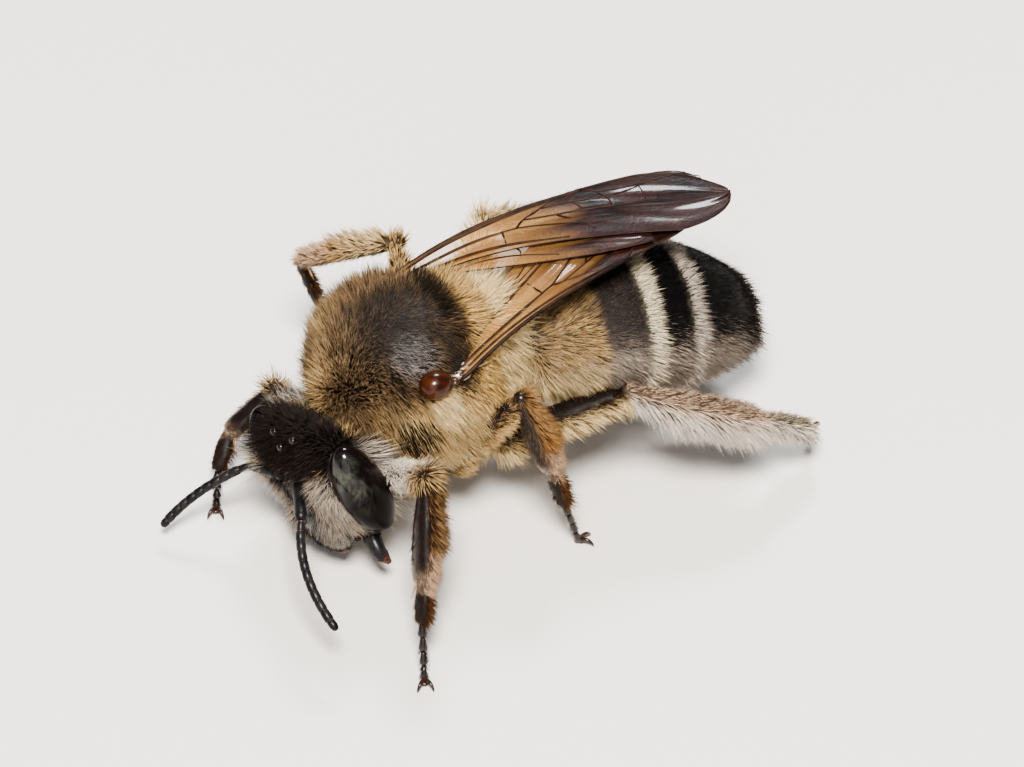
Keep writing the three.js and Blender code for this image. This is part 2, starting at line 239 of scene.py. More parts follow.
# %% Join, modify and finish a piece
def joined(pieces):
    deselect()
    for piece in pieces:
        piece.select_set(True)
    bpy.context.view_layer.objects.active = pieces[0]
    bpy.ops.object.join()
    return bpy.context.object


def modified(obj, kind, **settings):
    deselect()
    bpy.context.view_layer.objects.active = obj
    obj.select_set(True)
    bpy.ops.object.modifier_add(type=kind)
    modifier = obj.modifiers[-1]
    for name, value in settings.items():
        setattr(modifier, name, value)
    bpy.ops.object.modifier_apply(modifier=modifier.name)
    return obj


def settled(obj, name, material, nodes=()):
    """Brings a finished piece to life size, in its stance, and hides the solids it stands for."""
    obj.data.transform(Matrix.Scale(MM, 4) @ STANCE)
    obj.data.update()
    obj.name = obj.data.name = name
    obj.data.materials.clear()
    obj.data.materials.append(material)
    obj.data.polygons.foreach_set("use_smooth", np.ones(len(obj.data.polygons), bool))
    obj.data.update()
    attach(obj, "root")
    if nodes:
        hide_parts(*nodes)
    return obj


# %% [markdown]
# ## The stance of the legs
# Each leg has a hip under the thorax, then knee, ankle, heel and toe. The toes stand on the floor.

# %% Leg joints in the trunk frame, with the half widths of tibia and brush
LEGS = {
    "front_left": (
        (1.2, -1.6, -2.2), (4.2, -1.54, -0.42), (5.2, -2.09, -2.85), (5.6, -2.33, -3.74),
        (6.1, -2.5, -5.2), 0.44, 0.3,
    ),
    "middle_left": (
        (1.3, 0.3, -2.3), (2.9, 1.7, 0.25), (3.3, 2.37, -1.83), (3.3, 2.73, -3.09),
        (3.2, 3.2, -4.5), 0.5, 0.32,
    ),
    "hind_left": (
        (1.3, 1.8, -2.0), (2.7, 4.8, -0.6), (3.4, 8.2, -2.0), (3.0, 9.9, -3.0),
        (2.0, 10.5, -4.2), 0.45, 0.32,
    ),
    "front_right": (
        (-1.2, -1.6, -2.2), (-2.5, -2.79, -1.54), (-2.6, -4.1, -2.6), (-2.2, -4.6, -3.4),
        (-1.72, -4.86, -4.2), 0.34, 0.25,
    ),
    "middle_right": (
        (-1.3, 0.3, -2.3), (-3.8, 1.3, 1.1), (-5.1, -0.95, 0.4), (-5.0, -0.4, -1.2),
        (-4.9, 0.6, -3.3), 0.33, 0.25,
    ),
    "hind_right": (
        (-1.3, 1.8, -2.0), (-4.3, 4.0, 0.7), (-4.9, 6.8, -1.2), (-4.8, 8.0, -2.3),
        (-4.6, 8.9, -3.2), 0.45, 0.32,
    ),
}
FEMUR_HALF = 0.36
TOE_LIFT = 0.13


def leg_points(name):
    *points, toe, tibia, brush = LEGS[name]
    on_floor = STANCE @ Vector(toe)
    on_floor.z = TOE_LIFT
    return [*map(Vector, points), STANCE.inverted() @ on_floor], tibia, brush


# %% [markdown]
# ## The shell under the coat
# Thorax, waist, abdomen, head and legs are one skin, so no seam shows where they meet. Simple forms
# are placed first, then a voxel remesh melts them into one closed surface, which is smoothed.

# %% Forms of the trunk: centre and radii
THORAX = ((0, 0, -0.12), (2.4, 2.5, 2.15))
SCUTELLUM = ((0, 1.85, 1.05), (1.2, 0.62, 0.6))
PROPODEUM = ((0, 1.75, -0.1), (1.5, 0.9, 1.4))
CAPSULE = ((0, 0, 0), (2.08, 0.98, 1.72))
NECK = (Vector((0.3, -1.7, -1.1)), HEAD @ Vector((0, 0.35, 0.1)), 0.6)

# %% The abdomen's axis and its sections
ABDOMEN_START = np.array((-0.05, 2.55, -0.05))
ABDOMEN_LENGTH = 7.4
COAT_BESIDE, COAT_ABOVE = 0.3, 0.22
ABDOMEN_HALVES = (2.7 - COAT_BESIDE, 1.975 - COAT_ABOVE)
ABDOMEN_TIP = 0.97
ABDOMEN_WAIST, ABDOMEN_WIDEST = 0.6, 0.42
ABDOMEN_PITCH, ABDOMEN_YAW = (-3, 28), (2, 8)
AXIS_STEPS = 120


def mix(a, b, t):
    return a + (b - a) * t


def abdomen_heading(s):
    pitch = np.radians(mix(*ABDOMEN_PITCH, s))
    yaw = np.radians(mix(*ABDOMEN_YAW, s))
    return np.stack([-np.sin(yaw) * np.cos(pitch), np.cos(yaw) * np.cos(pitch), -np.sin(pitch)], -1)


AXIS_SHARE = np.linspace(0, 1, AXIS_STEPS + 1)
AXIS_WAY = abdomen_heading(AXIS_SHARE)
half_way = abdomen_heading(AXIS_SHARE[:-1] + 0.5 / AXIS_STEPS)
AXIS = ABDOMEN_START + np.vstack([np.zeros(3), np.cumsum(half_way, 0)]) * ABDOMEN_LENGTH / AXIS_STEPS
AXIS_ACROSS = np.cross((0, 0, 1), AXIS_WAY)
AXIS_ACROSS /= np.linalg.norm(AXIS_ACROSS, axis=1, keepdims=True)
AXIS_OVER = np.cross(AXIS_WAY, AXIS_ACROSS)


def abdomen_fullness(s):
    front = mix(ABDOMEN_WAIST, 1, np.sin(np.pi / 2 * np.minimum(s / ABDOMEN_WIDEST, 1)))
    behind = np.maximum(s - ABDOMEN_WIDEST, 0) / (1 - ABDOMEN_WIDEST)
    return front * np.sqrt(np.maximum(1 - behind**2.6, 0))


def abdomen_form():
    """A sphere whose rows become the abdomen's sections."""
    obj = ball((0, 0, 0), (1, 1, 1), 56, 60)
    d = np.array([v.co for v in obj.data.vertices])
    s = np.arccos(np.clip(-d[:, 2], -1, 1)) / math.pi
    s = mix(0.0, ABDOMEN_TIP, s)
    k = np.round(s * AXIS_STEPS).astype(int)
    around = np.maximum(np.hypot(d[:, 0], d[:, 1]), 1e-9)
    closing = np.minimum(np.clip(s / 0.03, 0, 1), np.clip((ABDOMEN_TIP - s) / 0.05, 0, 1))
    full = abdomen_fullness(s) * np.sqrt(closing)
    p = (
        AXIS[k]
        + AXIS_ACROSS[k] * (d[:, 0] / around * full * ABDOMEN_HALVES[0])[:, None]
        + AXIS_OVER[k] * (d[:, 1] / around * full * ABDOMEN_HALVES[1])[:, None]
    )
    obj.data.vertices.foreach_set("co", p.ravel())
    obj.data.update()
    return obj


# %% Forms of one leg
STEEP = 0.85
UP, BACK = Vector((0, 0, 1)), Vector((0, 1, 0))


def leg_forms(name):
    (hip, knee, ankle, heel, toe), tibia, brush = leg_points(name)
    f = FEMUR_HALF
    return [
        limb(
            hip, knee,
            [(-0.02, f, f), (0.25, 0.9 * f, 0.8 * f), (0.55, f, 0.85 * f), (0.9, 0.62 * f, 0.6 * f)],
        ),
        ball(hip.lerp(knee, 0.08), (0.5, 0.5, 0.45), 24, 16),
        ball(knee, (0.22, 0.22, 0.22), 20, 14),
        limb(
            knee, ankle,
            [(-0.02, 0.2, 0.2), (0.12, 0.24, 0.22), (0.45, 0.88 * tibia, 0.7 * tibia),
             (0.85, tibia, 0.7 * tibia), (0.97, 0.8 * tibia, 0.6 * tibia)],
            flat=BACK if abs((ankle - knee).normalized().z) > STEEP else UP,
        ),
        limb(
            ankle, heel,
            [(0.0, 0.16, 0.14), (0.12, 0.8 * brush, 0.6 * brush), (0.5, brush, 0.62 * brush),
             (0.93, 0.85 * brush, 0.55 * brush), (1.0, 0.5 * brush, 0.4 * brush)],
            flat=BACK if abs((heel - ankle).normalized().z) > STEEP else UP,
        ),
    ]


# %% Place every form of flesh and melt them into one skin
SKIN_VOXEL = 0.07
WAIST_START, WAIST_END = Vector((0, 2.0, -0.1)), Vector(AXIS[14])

forms = [ball(*THORAX), ball(*SCUTELLUM), ball(*PROPODEUM), ball(*CAPSULE, place=HEAD)]
forms.append(limb(NECK[0], NECK[1], [(0, NECK[2], NECK[2]), (1, 0.8 * NECK[2], 0.8 * NECK[2])]))
forms.append(limb(WAIST_START, WAIST_END, [(0, 0.5, 0.5), (0.5, 0.42, 0.42), (1, 0.8, 0.7)]))
forms.append(abdomen_form())
for name in LEGS:
    forms += leg_forms(name)
skin = joined(forms)
skin.data.remesh_voxel_size = SKIN_VOXEL
bpy.ops.object.voxel_remesh()
modified(skin, "SMOOTH", factor=0.5, iterations=5)
print("skin has", len(skin.data.polygons), "faces")

# %% [markdown]
# ## Finishes
# Insect shell is hard and glossy, and it is never one even colour: it carries fine pits and a faint
# mottle. Both effects are shader node groups with named inputs, so every finish can place them with
# its own scale. The shaders themselves stay in each material. Patterns follow object coordinates in
# metres, which is why their scales are in the thousands.


# %% Shared effects: a mottle mask and a pitted height
def effect(name, inputs, output):
    tree = bpy.data.node_groups.new(name, "ShaderNodeTree")
    for label, value in inputs:
        socket = tree.interface.new_socket(label, in_out="INPUT", socket_type="NodeSocketFloat")
        socket.default_value = value
    tree.interface.new_socket(output, in_out="OUTPUT", socket_type="NodeSocketFloat")
    return tree, tree.nodes.new("NodeGroupInput"), tree.nodes.new("NodeGroupOutput")


def mottle_effect():
    tree, given, out = effect("mottle", [("Scale", 4000), ("Low", 0.4), ("High", 0.6)], "Mask")
    place = tree.nodes.new("ShaderNodeTexCoord")
    noise = tree.nodes.new("ShaderNodeTexNoise")
    noise.inputs["Detail"].default_value = 4
    span = tree.nodes.new("ShaderNodeMapRange")
    tree.links.new(place.outputs["Object"], noise.inputs["Vector"])
    tree.links.new(given.outputs["Scale"], noise.inputs["Scale"])
    tree.links.new(noise.outputs["Fac"], span.inputs["Value"])
    tree.links.new(given.outputs["Low"], span.inputs["From Min"])
    tree.links.new(given.outputs["High"], span.inputs["From Max"])
    tree.links.new(span.outputs["Result"], out.inputs["Mask"])
    return tree


def pit_effect():
    tree, given, out = effect("pits", [("Scale", 20000), ("Edge", 0.35)], "Height")
    place = tree.nodes.new("ShaderNodeTexCoord")
    cells = tree.nodes.new("ShaderNodeTexVoronoi")
    span = tree.nodes.new("ShaderNodeMapRange")
    tree.links.new(place.outputs["Object"], cells.inputs["Vector"])
    tree.links.new(given.outputs["Scale"], cells.inputs["Scale"])
    tree.links.new(cells.outputs["Distance"], span.inputs["Value"])
    tree.links.new(given.outputs["Edge"], span.inputs["From Max"])
    tree.links.new(span.outputs["Result"], out.inputs["Height"])
    return tree


MOTTLE, PITS = mottle_effect(), pit_effect()


def set_sockets(node, values):
    for name, value in values.items():
        node.inputs[name].default_value = value


def placed_effect(nodes, tree, **values):
    node = nodes.new("ShaderNodeGroup")
    node.node_tree = tree
    set_sockets(node, values)
    return node.outputs[0]


print("shared effects", MOTTLE.name, PITS.name)


# %% Parts of a finish: mixed colours, products and bump
def colour_mix(nodes, links, mask, dark, light):
    blend = nodes.new("ShaderNodeMix")
    blend.data_type = "RGBA"
    links.new(mask, blend.inputs["Factor"])
    for socket, colour in ((blend.inputs["A"], dark), (blend.inputs["B"], light)):
        if isinstance(colour, tuple):
            socket.default_value = (*colour, 1)
        else:
            links.new(colour, socket)
    return blend.outputs["Result"]


def bumped(nodes, links, shader, height, depth):
    bump = nodes.new("ShaderNodeBump")
    bump.inputs["Strength"].default_value = 1
    bump.inputs["Distance"].default_value = depth
    links.new(height, bump.inputs["Height"])
    links.new(bump.outputs["Normal"], shader.inputs["Normal"])


def product(nodes, links, a, b):
    times = nodes.new("ShaderNodeMath")
    times.operation = "MULTIPLY"
    links.new(a, times.inputs[0])
    links.new(b, times.inputs[1])
    return times.outputs["Value"]


def stored_value(nodes, name):
    """Reads a number or colour that a mesh stores point by point."""
    node = nodes.new("ShaderNodeAttribute")
    node.attribute_name = name
    return node.outputs


def spanned(nodes, links, value, **limits):
    """Maps a value to other limits."""
    span = nodes.new("ShaderNodeMapRange")
    set_sockets(span, {name.replace("_", " "): limit for name, limit in limits.items()})
    links.new(value, span.inputs["Value"])
    return span.outputs["Result"]


# %% [markdown]
# ### Finishes of the shell
# Every shell finish mixes two close colours by the mottle and carries pits as bump. What differs from
# part to part is how deep the gloss is: legs and mouth plate are polished, feelers and jaws dull, and
# the wing-root plates are amber under a clear coat.


# %% Shell finishes
SHELL_GLOSS = {
    "Roughness": 0.32, "Specular IOR Level": 0.35, "Coat Weight": 0.3, "Coat Roughness": 0.12,
}


def shell_finish(name, dark, light, mottle=4000, pits=22000, depth=2e-6, **sockets):
    mat = bpy.data.materials.new(name)
    nodes, links, shader = noted(mat)
    mask = placed_effect(nodes, MOTTLE, Scale=mottle)
    links.new(colour_mix(nodes, links, mask, dark, light), shader.inputs["Base Color"])
    if depth:
        bumped(nodes, links, shader, placed_effect(nodes, PITS, Scale=pits), depth)
    set_sockets(shader, {**SHELL_GLOSS, **sockets})
    return mat


SHELL_BLACK = shell_finish("shell_black", (0.005, 0.004, 0.004), (0.014, 0.01, 0.008))
SHELL_DULL = shell_finish(
    "shell_dull", (0.005, 0.005, 0.006), (0.014, 0.012, 0.012),
    **{"Roughness": 0.4, "Specular IOR Level": 0.16, "Coat Weight": 0.1, "Coat Roughness": 0.2},
)
SHELL_BROWN = shell_finish("shell_brown", (0.014, 0.006, 0.004), (0.05, 0.02, 0.01), depth=1e-6)
SHELL_RED = shell_finish(
    "shell_red", (0.035, 0.008, 0.004), (0.085, 0.022, 0.01), mottle=9000,
    **{"Roughness": 0.45, "Specular IOR Level": 0.2, "Coat Weight": 0.05},
)
SHELL_PALE = shell_finish("joint_pale", (0.2, 0.1, 0.05), (0.42, 0.27, 0.15), mottle=9000)
AMBER = shell_finish(
    "tegula_amber", (0.018, 0.0045, 0.002), (0.045, 0.011, 0.003), mottle=4200, pits=16000,
    **{"Specular IOR Level": 0.15, "Coat Weight": 0.5, "Coat Roughness": 0.06, "Coat IOR": 1.35},
)
OCELLUS = shell_finish(
    "ocellus", (0.006, 0.004, 0.004), (0.012, 0.008, 0.007), depth=0,
    **{"Roughness": 0.3, "Specular IOR Level": 0.1},
    **{"Coat Weight": 0.8, "Coat Roughness": 0.06, "Coat IOR": 1.45},
)
print("shell finishes", [mat.name for mat in bpy.data.materials])


# %% [markdown]
# ## Finish of the compound eyes
# A compound eye is a polished dome of thousands of facets. Seen close, it is purple-black with a
# grey-green net of paler patches that lie deep under the gloss. Cells stretched along the eye give
# the net, and much finer cells give the facets. The dome stores two numbers point by point: "net" is
# 1 where the net shows best, and "wet" is how strong the clear coat is, which fades downwards.


# %% Eye finish
NET_WARP = 0.00016
EYE_DARK, NET_GREEN = (0.004, 0.002, 0.0024), (0.1, 0.115, 0.085)


def eye_finish():
    mat = bpy.data.materials.new("eye")
    nodes, links, shader = noted(mat)
    place = nodes.new("ShaderNodeTexCoord")
    stretch = nodes.new("ShaderNodeMapping")
    stretch.inputs["Scale"].default_value = (1, 1, 0.3)
    warp = nodes.new("ShaderNodeTexNoise")
    warp.inputs["Scale"].default_value = 3000
    shifted = nodes.new("ShaderNodeVectorMath")
    shifted.operation = "MULTIPLY_ADD"
    shifted.inputs[1].default_value = (NET_WARP, NET_WARP, NET_WARP)
    cells = nodes.new("ShaderNodeTexVoronoi")
    cells.feature = "DISTANCE_TO_EDGE"
    cells.inputs["Scale"].default_value = 6200
    links.new(place.outputs["Object"], stretch.inputs["Vector"])
    links.new(stretch.outputs["Vector"], warp.inputs["Vector"])
    links.new(warp.outputs["Color"], shifted.inputs[0])
    links.new(stretch.outputs["Vector"], shifted.inputs[2])
    links.new(shifted.outputs["Vector"], cells.inputs["Vector"])
    edges = spanned(nodes, links, cells.outputs["Distance"], From_Min=0.36, From_Max=-0.1)
    patches = placed_effect(nodes, MOTTLE, Scale=1300, Low=0.44, High=0.6)
    net = product(nodes, links, product(nodes, links, edges, patches), stored_value(nodes, "net")["Fac"])
    links.new(colour_mix(nodes, links, net, EYE_DARK, NET_GREEN), shader.inputs["Base Color"])
    wet = stored_value(nodes, "wet")["Fac"]
    polish = spanned(nodes, links, wet, From_Min=0.45, To_Min=0.02, To_Max=0.85)
    links.new(polish, shader.inputs["Coat Weight"])
    bumped(nodes, links, shader, placed_effect(nodes, PITS, Scale=36000), -8e-7)
    set_sockets(shader, {"Roughness": 0.3, "Specular IOR Level": 0.05})
    set_sockets(shader, {"Coat Roughness": 0.09, "Coat IOR": 1.38})
    return mat


EYE = eye_finish()
print("eye finish has", len(EYE.node_tree.nodes), "nodes")


# %% [markdown]
# ## Finish of the wings
# The membrane is clear honey at the root and smoky brown at the tip. The share of smoke is stored on
# the mesh, since it follows the wing. Alpha lets what lies beneath show through, and a glossy coat
# gives the wet gleam. Glass would look more real in a still, but alpha exports better. Veins and the
# membrane at the wing roots are shell finishes.


# %% Wing and vein finish
HONEY_SHADES = (0.4, 0.18, 0.05), (0.55, 0.31, 0.11)
SMOKE_SHADES = (0.006, 0.0025, 0.003), (0.032, 0.0105, 0.007)


def wing_finish():
    mat = bpy.data.materials.new("wing_membrane")
    nodes, links, shader = noted(mat)
    smoke = stored_value(nodes, "smoke")["Fac"]
    mask = placed_effect(nodes, MOTTLE, Scale=900, Low=0.3, High=0.75)
    honey, brown = (colour_mix(nodes, links, mask, *shades) for shades in (HONEY_SHADES, SMOKE_SHADES))
    links.new(colour_mix(nodes, links, smoke, honey, brown), shader.inputs["Base Color"])
    links.new(spanned(nodes, links, smoke, To_Min=0.25, To_Max=0.96), shader.inputs["Alpha"])
    wrinkles = placed_effect(nodes, MOTTLE, Scale=14000, Low=0.2, High=0.8)
    bumped(nodes, links, shader, wrinkles, 1.2e-5)
    set_sockets(shader, {"Roughness": 0.35, "Specular IOR Level": 0.2})
    set_sockets(shader, {"Coat Weight": 0.45, "Coat Roughness": 0.1})
    return mat


WING = wing_finish()
VEIN = shell_finish(
    "wing_vein", (0.008, 0.004, 0.003), (0.03, 0.013, 0.007), mottle=3000, depth=0,
    **{"Roughness": 0.5, "Specular IOR Level": 0.15, "Coat Weight": 0.0},
)
MEMBRANE = shell_finish(
    "root_membrane", (0.16, 0.1, 0.06), (0.32, 0.24, 0.17), mottle=5000,
    **{"Roughness": 0.2, "Coat Weight": 1.0},
)

# %% [markdown]
# ## Finish of skin and hair
# Both take their colours from the mesh, which stores a tint for each point, and the mottle darkens
# them here and there. Hair is nearly matt. The skin is matt too, but for the bare faces of the front
# and middle shins, where a stored gloss makes it smooth and coated.


# %% Skin and hair finish
def tinted(name, darkest):
    mat = bpy.data.materials.new(name)
    nodes, links, shader = noted(mat)
    tint = stored_value(nodes, "tint")["Color"]
    darker = nodes.new("ShaderNodeHueSaturation")
    darker.inputs["Value"].default_value = darkest
    links.new(tint, darker.inputs["Color"])
    mask = placed_effect(nodes, MOTTLE, Scale=7000, Low=0.35, High=0.65)
    colour = colour_mix(nodes, links, mask, darker.outputs["Color"], tint)
    links.new(colour, shader.inputs["Base Color"])
    return mat


def skin_finish():
    mat = tinted("skin", 0.6)
    nodes, links, shader = noted(mat)
    bumped(nodes, links, shader, placed_effect(nodes, PITS, Scale=14000), 3e-6)
    gloss = stored_value(nodes, "gloss")["Fac"]
    for socket, dull, bright in (("Roughness", 0.5, 0.3), ("Coat Weight", 0.0, 0.4)):
        links.new(spanned(nodes, links, gloss, To_Min=dull, To_Max=bright), shader.inputs[socket])
    set_sockets(shader, {"Specular IOR Level": 0.15, "Coat Roughness": 0.22, "Coat IOR": 1.4})
    return mat


def hair_finish():
    mat = tinted("hair", 0.8)
    set_sockets(noted(mat)[2], {"Roughness": 0.55, "Specular IOR Level": 0.12})
    return mat


SKIN, HAIR = skin_finish(), hair_finish()
print("finishes", len(bpy.data.materials))

# %% [markdown]
# ## Eyes and ocelli
# The compound eyes are long ovals that bulge from the sides of the head. Three simple eyes, small
# glassy beads, sit on top of it. Balls stretched to their size are all they need, since their finish
# does the work. The right eye sits a little deeper in the fur than the left one and shines less.

# %% Eyes
EYE_AT, EYE_RADII, EYE_TILT = (1.88, -0.02, 0.15), (0.6, 0.645, 1.49), 4.5
SIDES = (("left", 1), ("right", -1))


def mirrored(point, side):
    return Vector((side * point[0], point[1], point[2]))


EYE_SUNK = {"left": (0, 0, 0), "right": (0.12, 0.05, -0.06)}
EYE_WET = {"left": 1.0, "right": 0.5}
NET_AT, NET_REACH = (0.74, -0.62, 0.56), 0.92


def stored(obj, name, values):
    """Keeps one number a point on the mesh, for its finish to read."""
    obj.data.attributes.new(name, "FLOAT", "POINT").data.foreach_set("value", values)


for word, side in SIDES:
    seat = HEAD @ Matrix.Translation(mirrored(EYE_AT, side)) @ turn(side * EYE_TILT, "Y")
    seat = seat @ Matrix.Translation(EYE_SUNK[word]) @ Matrix.Diagonal((*EYE_RADII, 1))
    eye = ball((0, 0, 0), (1, 1, 1), 64, 48, place=seat)
    spots = [seat.inverted() @ vertex.co for vertex in eye.data.vertices]
    stored(eye, "net", [1 - min((p - mirrored(NET_AT, side)).length / NET_REACH, 1) for p in spots])
    stored(eye, "wet", [min(max(0.5 + p.z, 0), 1) * EYE_WET[word] for p in spots])
    settled(eye, "eye_" + word + "_dome", EYE, ["eye_" + word])
print("eyes are", 2 * EYE_RADII[2], "mm long")

# %% Ocelli
OCELLI = ((0, -0.62, 1.5), (0.42, -0.4, 1.68), (-0.42, -0.4, 1.68))
OCELLUS_RADII = (0.12, 0.11, 0.125)
beads = [ball(at, OCELLUS_RADII, 24, 16, place=HEAD) for at in OCELLI]
settled(joined(beads), "ocelli", OCELLUS)
print("ocelli", len(beads))

# %% [markdown]
# ## Mouthparts
# The clypeus is the bulging plate over the mouth, with a reddish lower rim. The mandibles are curved
# blades at its corners, and the folded tongue sheath lies behind them. Curved pieces are drawn as a
# curve with a round bevel whose radius changes from point to point, because extruding each bend by
# hand would take many steps for the same shape. The curve is then made a closed mesh.


# %% A tube through points
def tube(points, radii, place=Matrix(), resolution=6, sides=3):
    deselect()
    curve = bpy.data.curves.new("tube", "CURVE")
    curve.dimensions = "3D"
    curve.bevel_depth = 1
    curve.bevel_resolution = sides
    curve.resolution_u = resolution
    curve.use_fill_caps = True
    spline = curve.splines.new("BEZIER")
    spline.bezier_points.add(len(points) - 1)
    for knot, point, radius in zip(spline.bezier_points, points, radii):
        knot.co = point
        knot.radius = radius
        knot.handle_left_type = knot.handle_right_type = "AUTO"
    obj = bpy.data.objects.new("tube", curve)
    bpy.context.collection.objects.link(obj)
    bpy.context.view_layer.objects.active = obj
    obj.select_set(True)
    bpy.ops.object.convert(target="MESH")
    obj = bpy.context.object
    bpy.ops.object.mode_set(mode="EDIT")
    bpy.ops.mesh.select_all(action="SELECT")
    bpy.ops.mesh.remove_doubles(threshold=0.0005)
    bpy.ops.mesh.normals_make_consistent(inside=False)
    bpy.ops.object.mode_set(mode="OBJECT")
    obj.matrix_world = place
    return apply_place(obj)


# %% Clypeus and its rim
CLYPEUS_AT, CLYPEUS_RADII = (0, -0.75, -1.15), (1.04, 0.42, 0.86)
RIM_HALVES, RIM_BACK = (1.0, 0.84), CLYPEUS_AT[1] - 0.12
RIM_TURNS = np.radians(np.linspace(212, 322, 9))
plate = ball(CLYPEUS_AT, CLYPEUS_RADII, 48, 32, place=HEAD)
settled(plate, "clypeus_plate", SHELL_BLACK, ["clypeus"])
rim = [
    (CLYPEUS_AT[0] + RIM_HALVES[0] * math.cos(a), RIM_BACK, CLYPEUS_AT[2] + RIM_HALVES[1] * math.sin(a))
    for a in RIM_TURNS
]
rim_radii = [0.03, *[0.075] * (len(rim) - 2), 0.03]
settled(tube(rim, rim_radii, place=HEAD), "clypeus_rim", SHELL_RED)

# %% Mandibles
MANDIBLES = {
    "left": ((1.2, -0.25, -1.62), (1.5, -0.35, -2.35)),
    "right": ((-1.15, -0.3, -1.5), (-0.75, -0.75, -1.95)),
}
for word, (hinge, tip) in MANDIBLES.items():
    hinge, tip = Vector(hinge), Vector(tip)
    outward = Vector((0.14 if word == "left" else -0.14, -0.12, 0))
    points = [hinge + Vector((0, 0.1, 0.2)), hinge, hinge.lerp(tip, 0.55) + outward, tip]
    blade = tube(points, [0.21, 0.26, 0.19, 0.08], place=HEAD)
    settled(blade, "mandible_" + word + "_blade", SHELL_DULL, ["mandible_" + word])
    red = [hinge.lerp(tip, 0.62) + 0.9 * outward, tip + Vector((0, 0, -0.04))]
    edge = tube(red, [0.195, 0.08], place=HEAD)
    settled(edge, "mandible_" + word + "_edge", SHELL_RED)

# %% Tongue and its two sheaths
SHEATH = [(0, -0.28, -1.72), (0.05, -0.1, -1.98), (0.03, 0.4, -1.72), (0, 0.95, -1.35)]
TONGUE = [(0.1, -0.42, -1.8), (0.14, -0.3, -2.12), (0.12, 0.15, -2.02), (0.05, 0.7, -1.62)]
SHEATH_APART = 0.1
sheaths = []
for side in (1, -1):
    path = [(x + side * SHEATH_APART, y, z) for x, y, z in SHEATH]
    sheaths.append(tube(path, [0.12, 0.17, 0.15, 0.1], place=HEAD))
tongue = tube(TONGUE, [0.07, 0.1, 0.1, 0.06], place=HEAD)
settled(joined([*sheaths, tongue]), "tongue_sheath", AMBER, ["proboscis"])
print("tongue sheath of", len(sheaths) + 1, "tubes")

# %% [markdown]
# ## Tegulae
# The tegula is a polished amber scale over each wing root. It is domed like a bead, so a stretched ball
# will do. The far one sinks deeper into the fur.

# %% Tegulae
TEGULA_SUNK = {"left": (-0.12, 0.05, -0.09), "right": (0.22, 0.02, -0.2)}
SCALE_RADII = (0.38, 0.45, 0.38)
for word, side in SIDES:
    scale = ball(mirrored(TEGULA_AT, side) + Vector(TEGULA_SUNK[word]), SCALE_RADII, 40, 28)
    settled(scale, "tegula_" + word + "_scale", AMBER, ["tegula_" + word])
print("tegulae", *TEGULA_AT)

# %% [markdown]
# ## Feelers
# A feeler is a long first joint, the scape, on a round seat, then a whip of eleven short barrels with
# brown joints between them. A barrel is a circle that is extruded and scaled, and it is repeated along
# the whip's curve. One long tube would be quicker, but its outline would lack the small steps.

# %% Shape of the feelers
FEELERS = {
    "left": ((0.45, -0.95, 0.65), (1.69, -1.78, 0.65), (2.17, -2.9, -0.1), (3.4, -3.17, -1.39)),
    "right": ((-0.45, -0.95, 0.65), (-1.71, -0.96, 0.54), (-2.7, -2.27, 0.55), (-3.15, -3.44, 0.04)),
}
BARRELS = 11
WHIP_HALF = 0.125
JOINT_HALF = 0.108
SCAPE = [
    (-0.02, 0.11, 0.11), (0.08, 0.13, 0.13), (0.45, 0.145, 0.14), (0.85, 0.165, 0.16),
    (0.98, 0.12, 0.12),
]
SEAT_AT, SEAT_RADII = (0.42, -0.86, 0.64), (0.2, 0.17, 0.2)
BARREL = [(0.0, 0.86), (0.08, 0.95), (0.5, 1.0), (0.9, 1.0), (0.98, 0.9)]
LAST_BARREL = [*BARREL[:-2], (0.8, 0.8), (0.95, 0.45)]


def whip_point(elbow, bow, tip, t):
    return (1 - t) ** 2 * elbow + 2 * t * (1 - t) * bow + t * t * tip


# %% Scapes and whips
for word, side in SIDES:
    socket, elbow, bow, tip = [HEAD @ Vector(p) for p in FEELERS[word]]
    scape = limb(socket, elbow, SCAPE, sides=20)
    seat = ball(HEAD @ mirrored(SEAT_AT, side), SEAT_RADII, 24, 16)
    settled(joined([scape, seat]), "scape_" + word + "_rod", SHELL_DULL, ["scape_" + word])
    spots = [whip_point(elbow, bow, tip, 0.02 + 0.98 * k / BARRELS) for k in range(BARRELS + 1)]
    barrels, joints = [], []
    for k, (a, b) in enumerate(zip(spots, spots[1:])):
        last = k == BARRELS - 1
        half = WHIP_HALF * (0.8 if k == 0 else 0.92 if last else 1.0)
        stations = [(t, half * w, half * w) for t, w in (LAST_BARREL if last else BARREL)]
        barrels.append(limb(a, b, stations, sides=18))
        ends = [(0, JOINT_HALF, JOINT_HALF), (1, JOINT_HALF, JOINT_HALF)]
        joints.append(limb(a - 0.05 * (b - a), a + 0.04 * (b - a), ends, sides=14))
    settled(joined(barrels), "whip_" + word, SHELL_DULL, ["flagellum_" + word])
    settled(joined(joints), "whip_joints_" + word, SHELL_BROWN)
print("feelers of", BARRELS, "barrels each")

# %% [markdown]
# ## Feet
# Below the brush each foot has four small joints, three that widen downwards and a slim last one, and
# two hooked claws with a pad between them, which stand on the floor. Two pale spurs stand at the end
# of the tibia. Joints are limbs, claws and spurs are tubes that thin out to a point.

# %% Joints of a foot
FOOT_JOINTS = 4


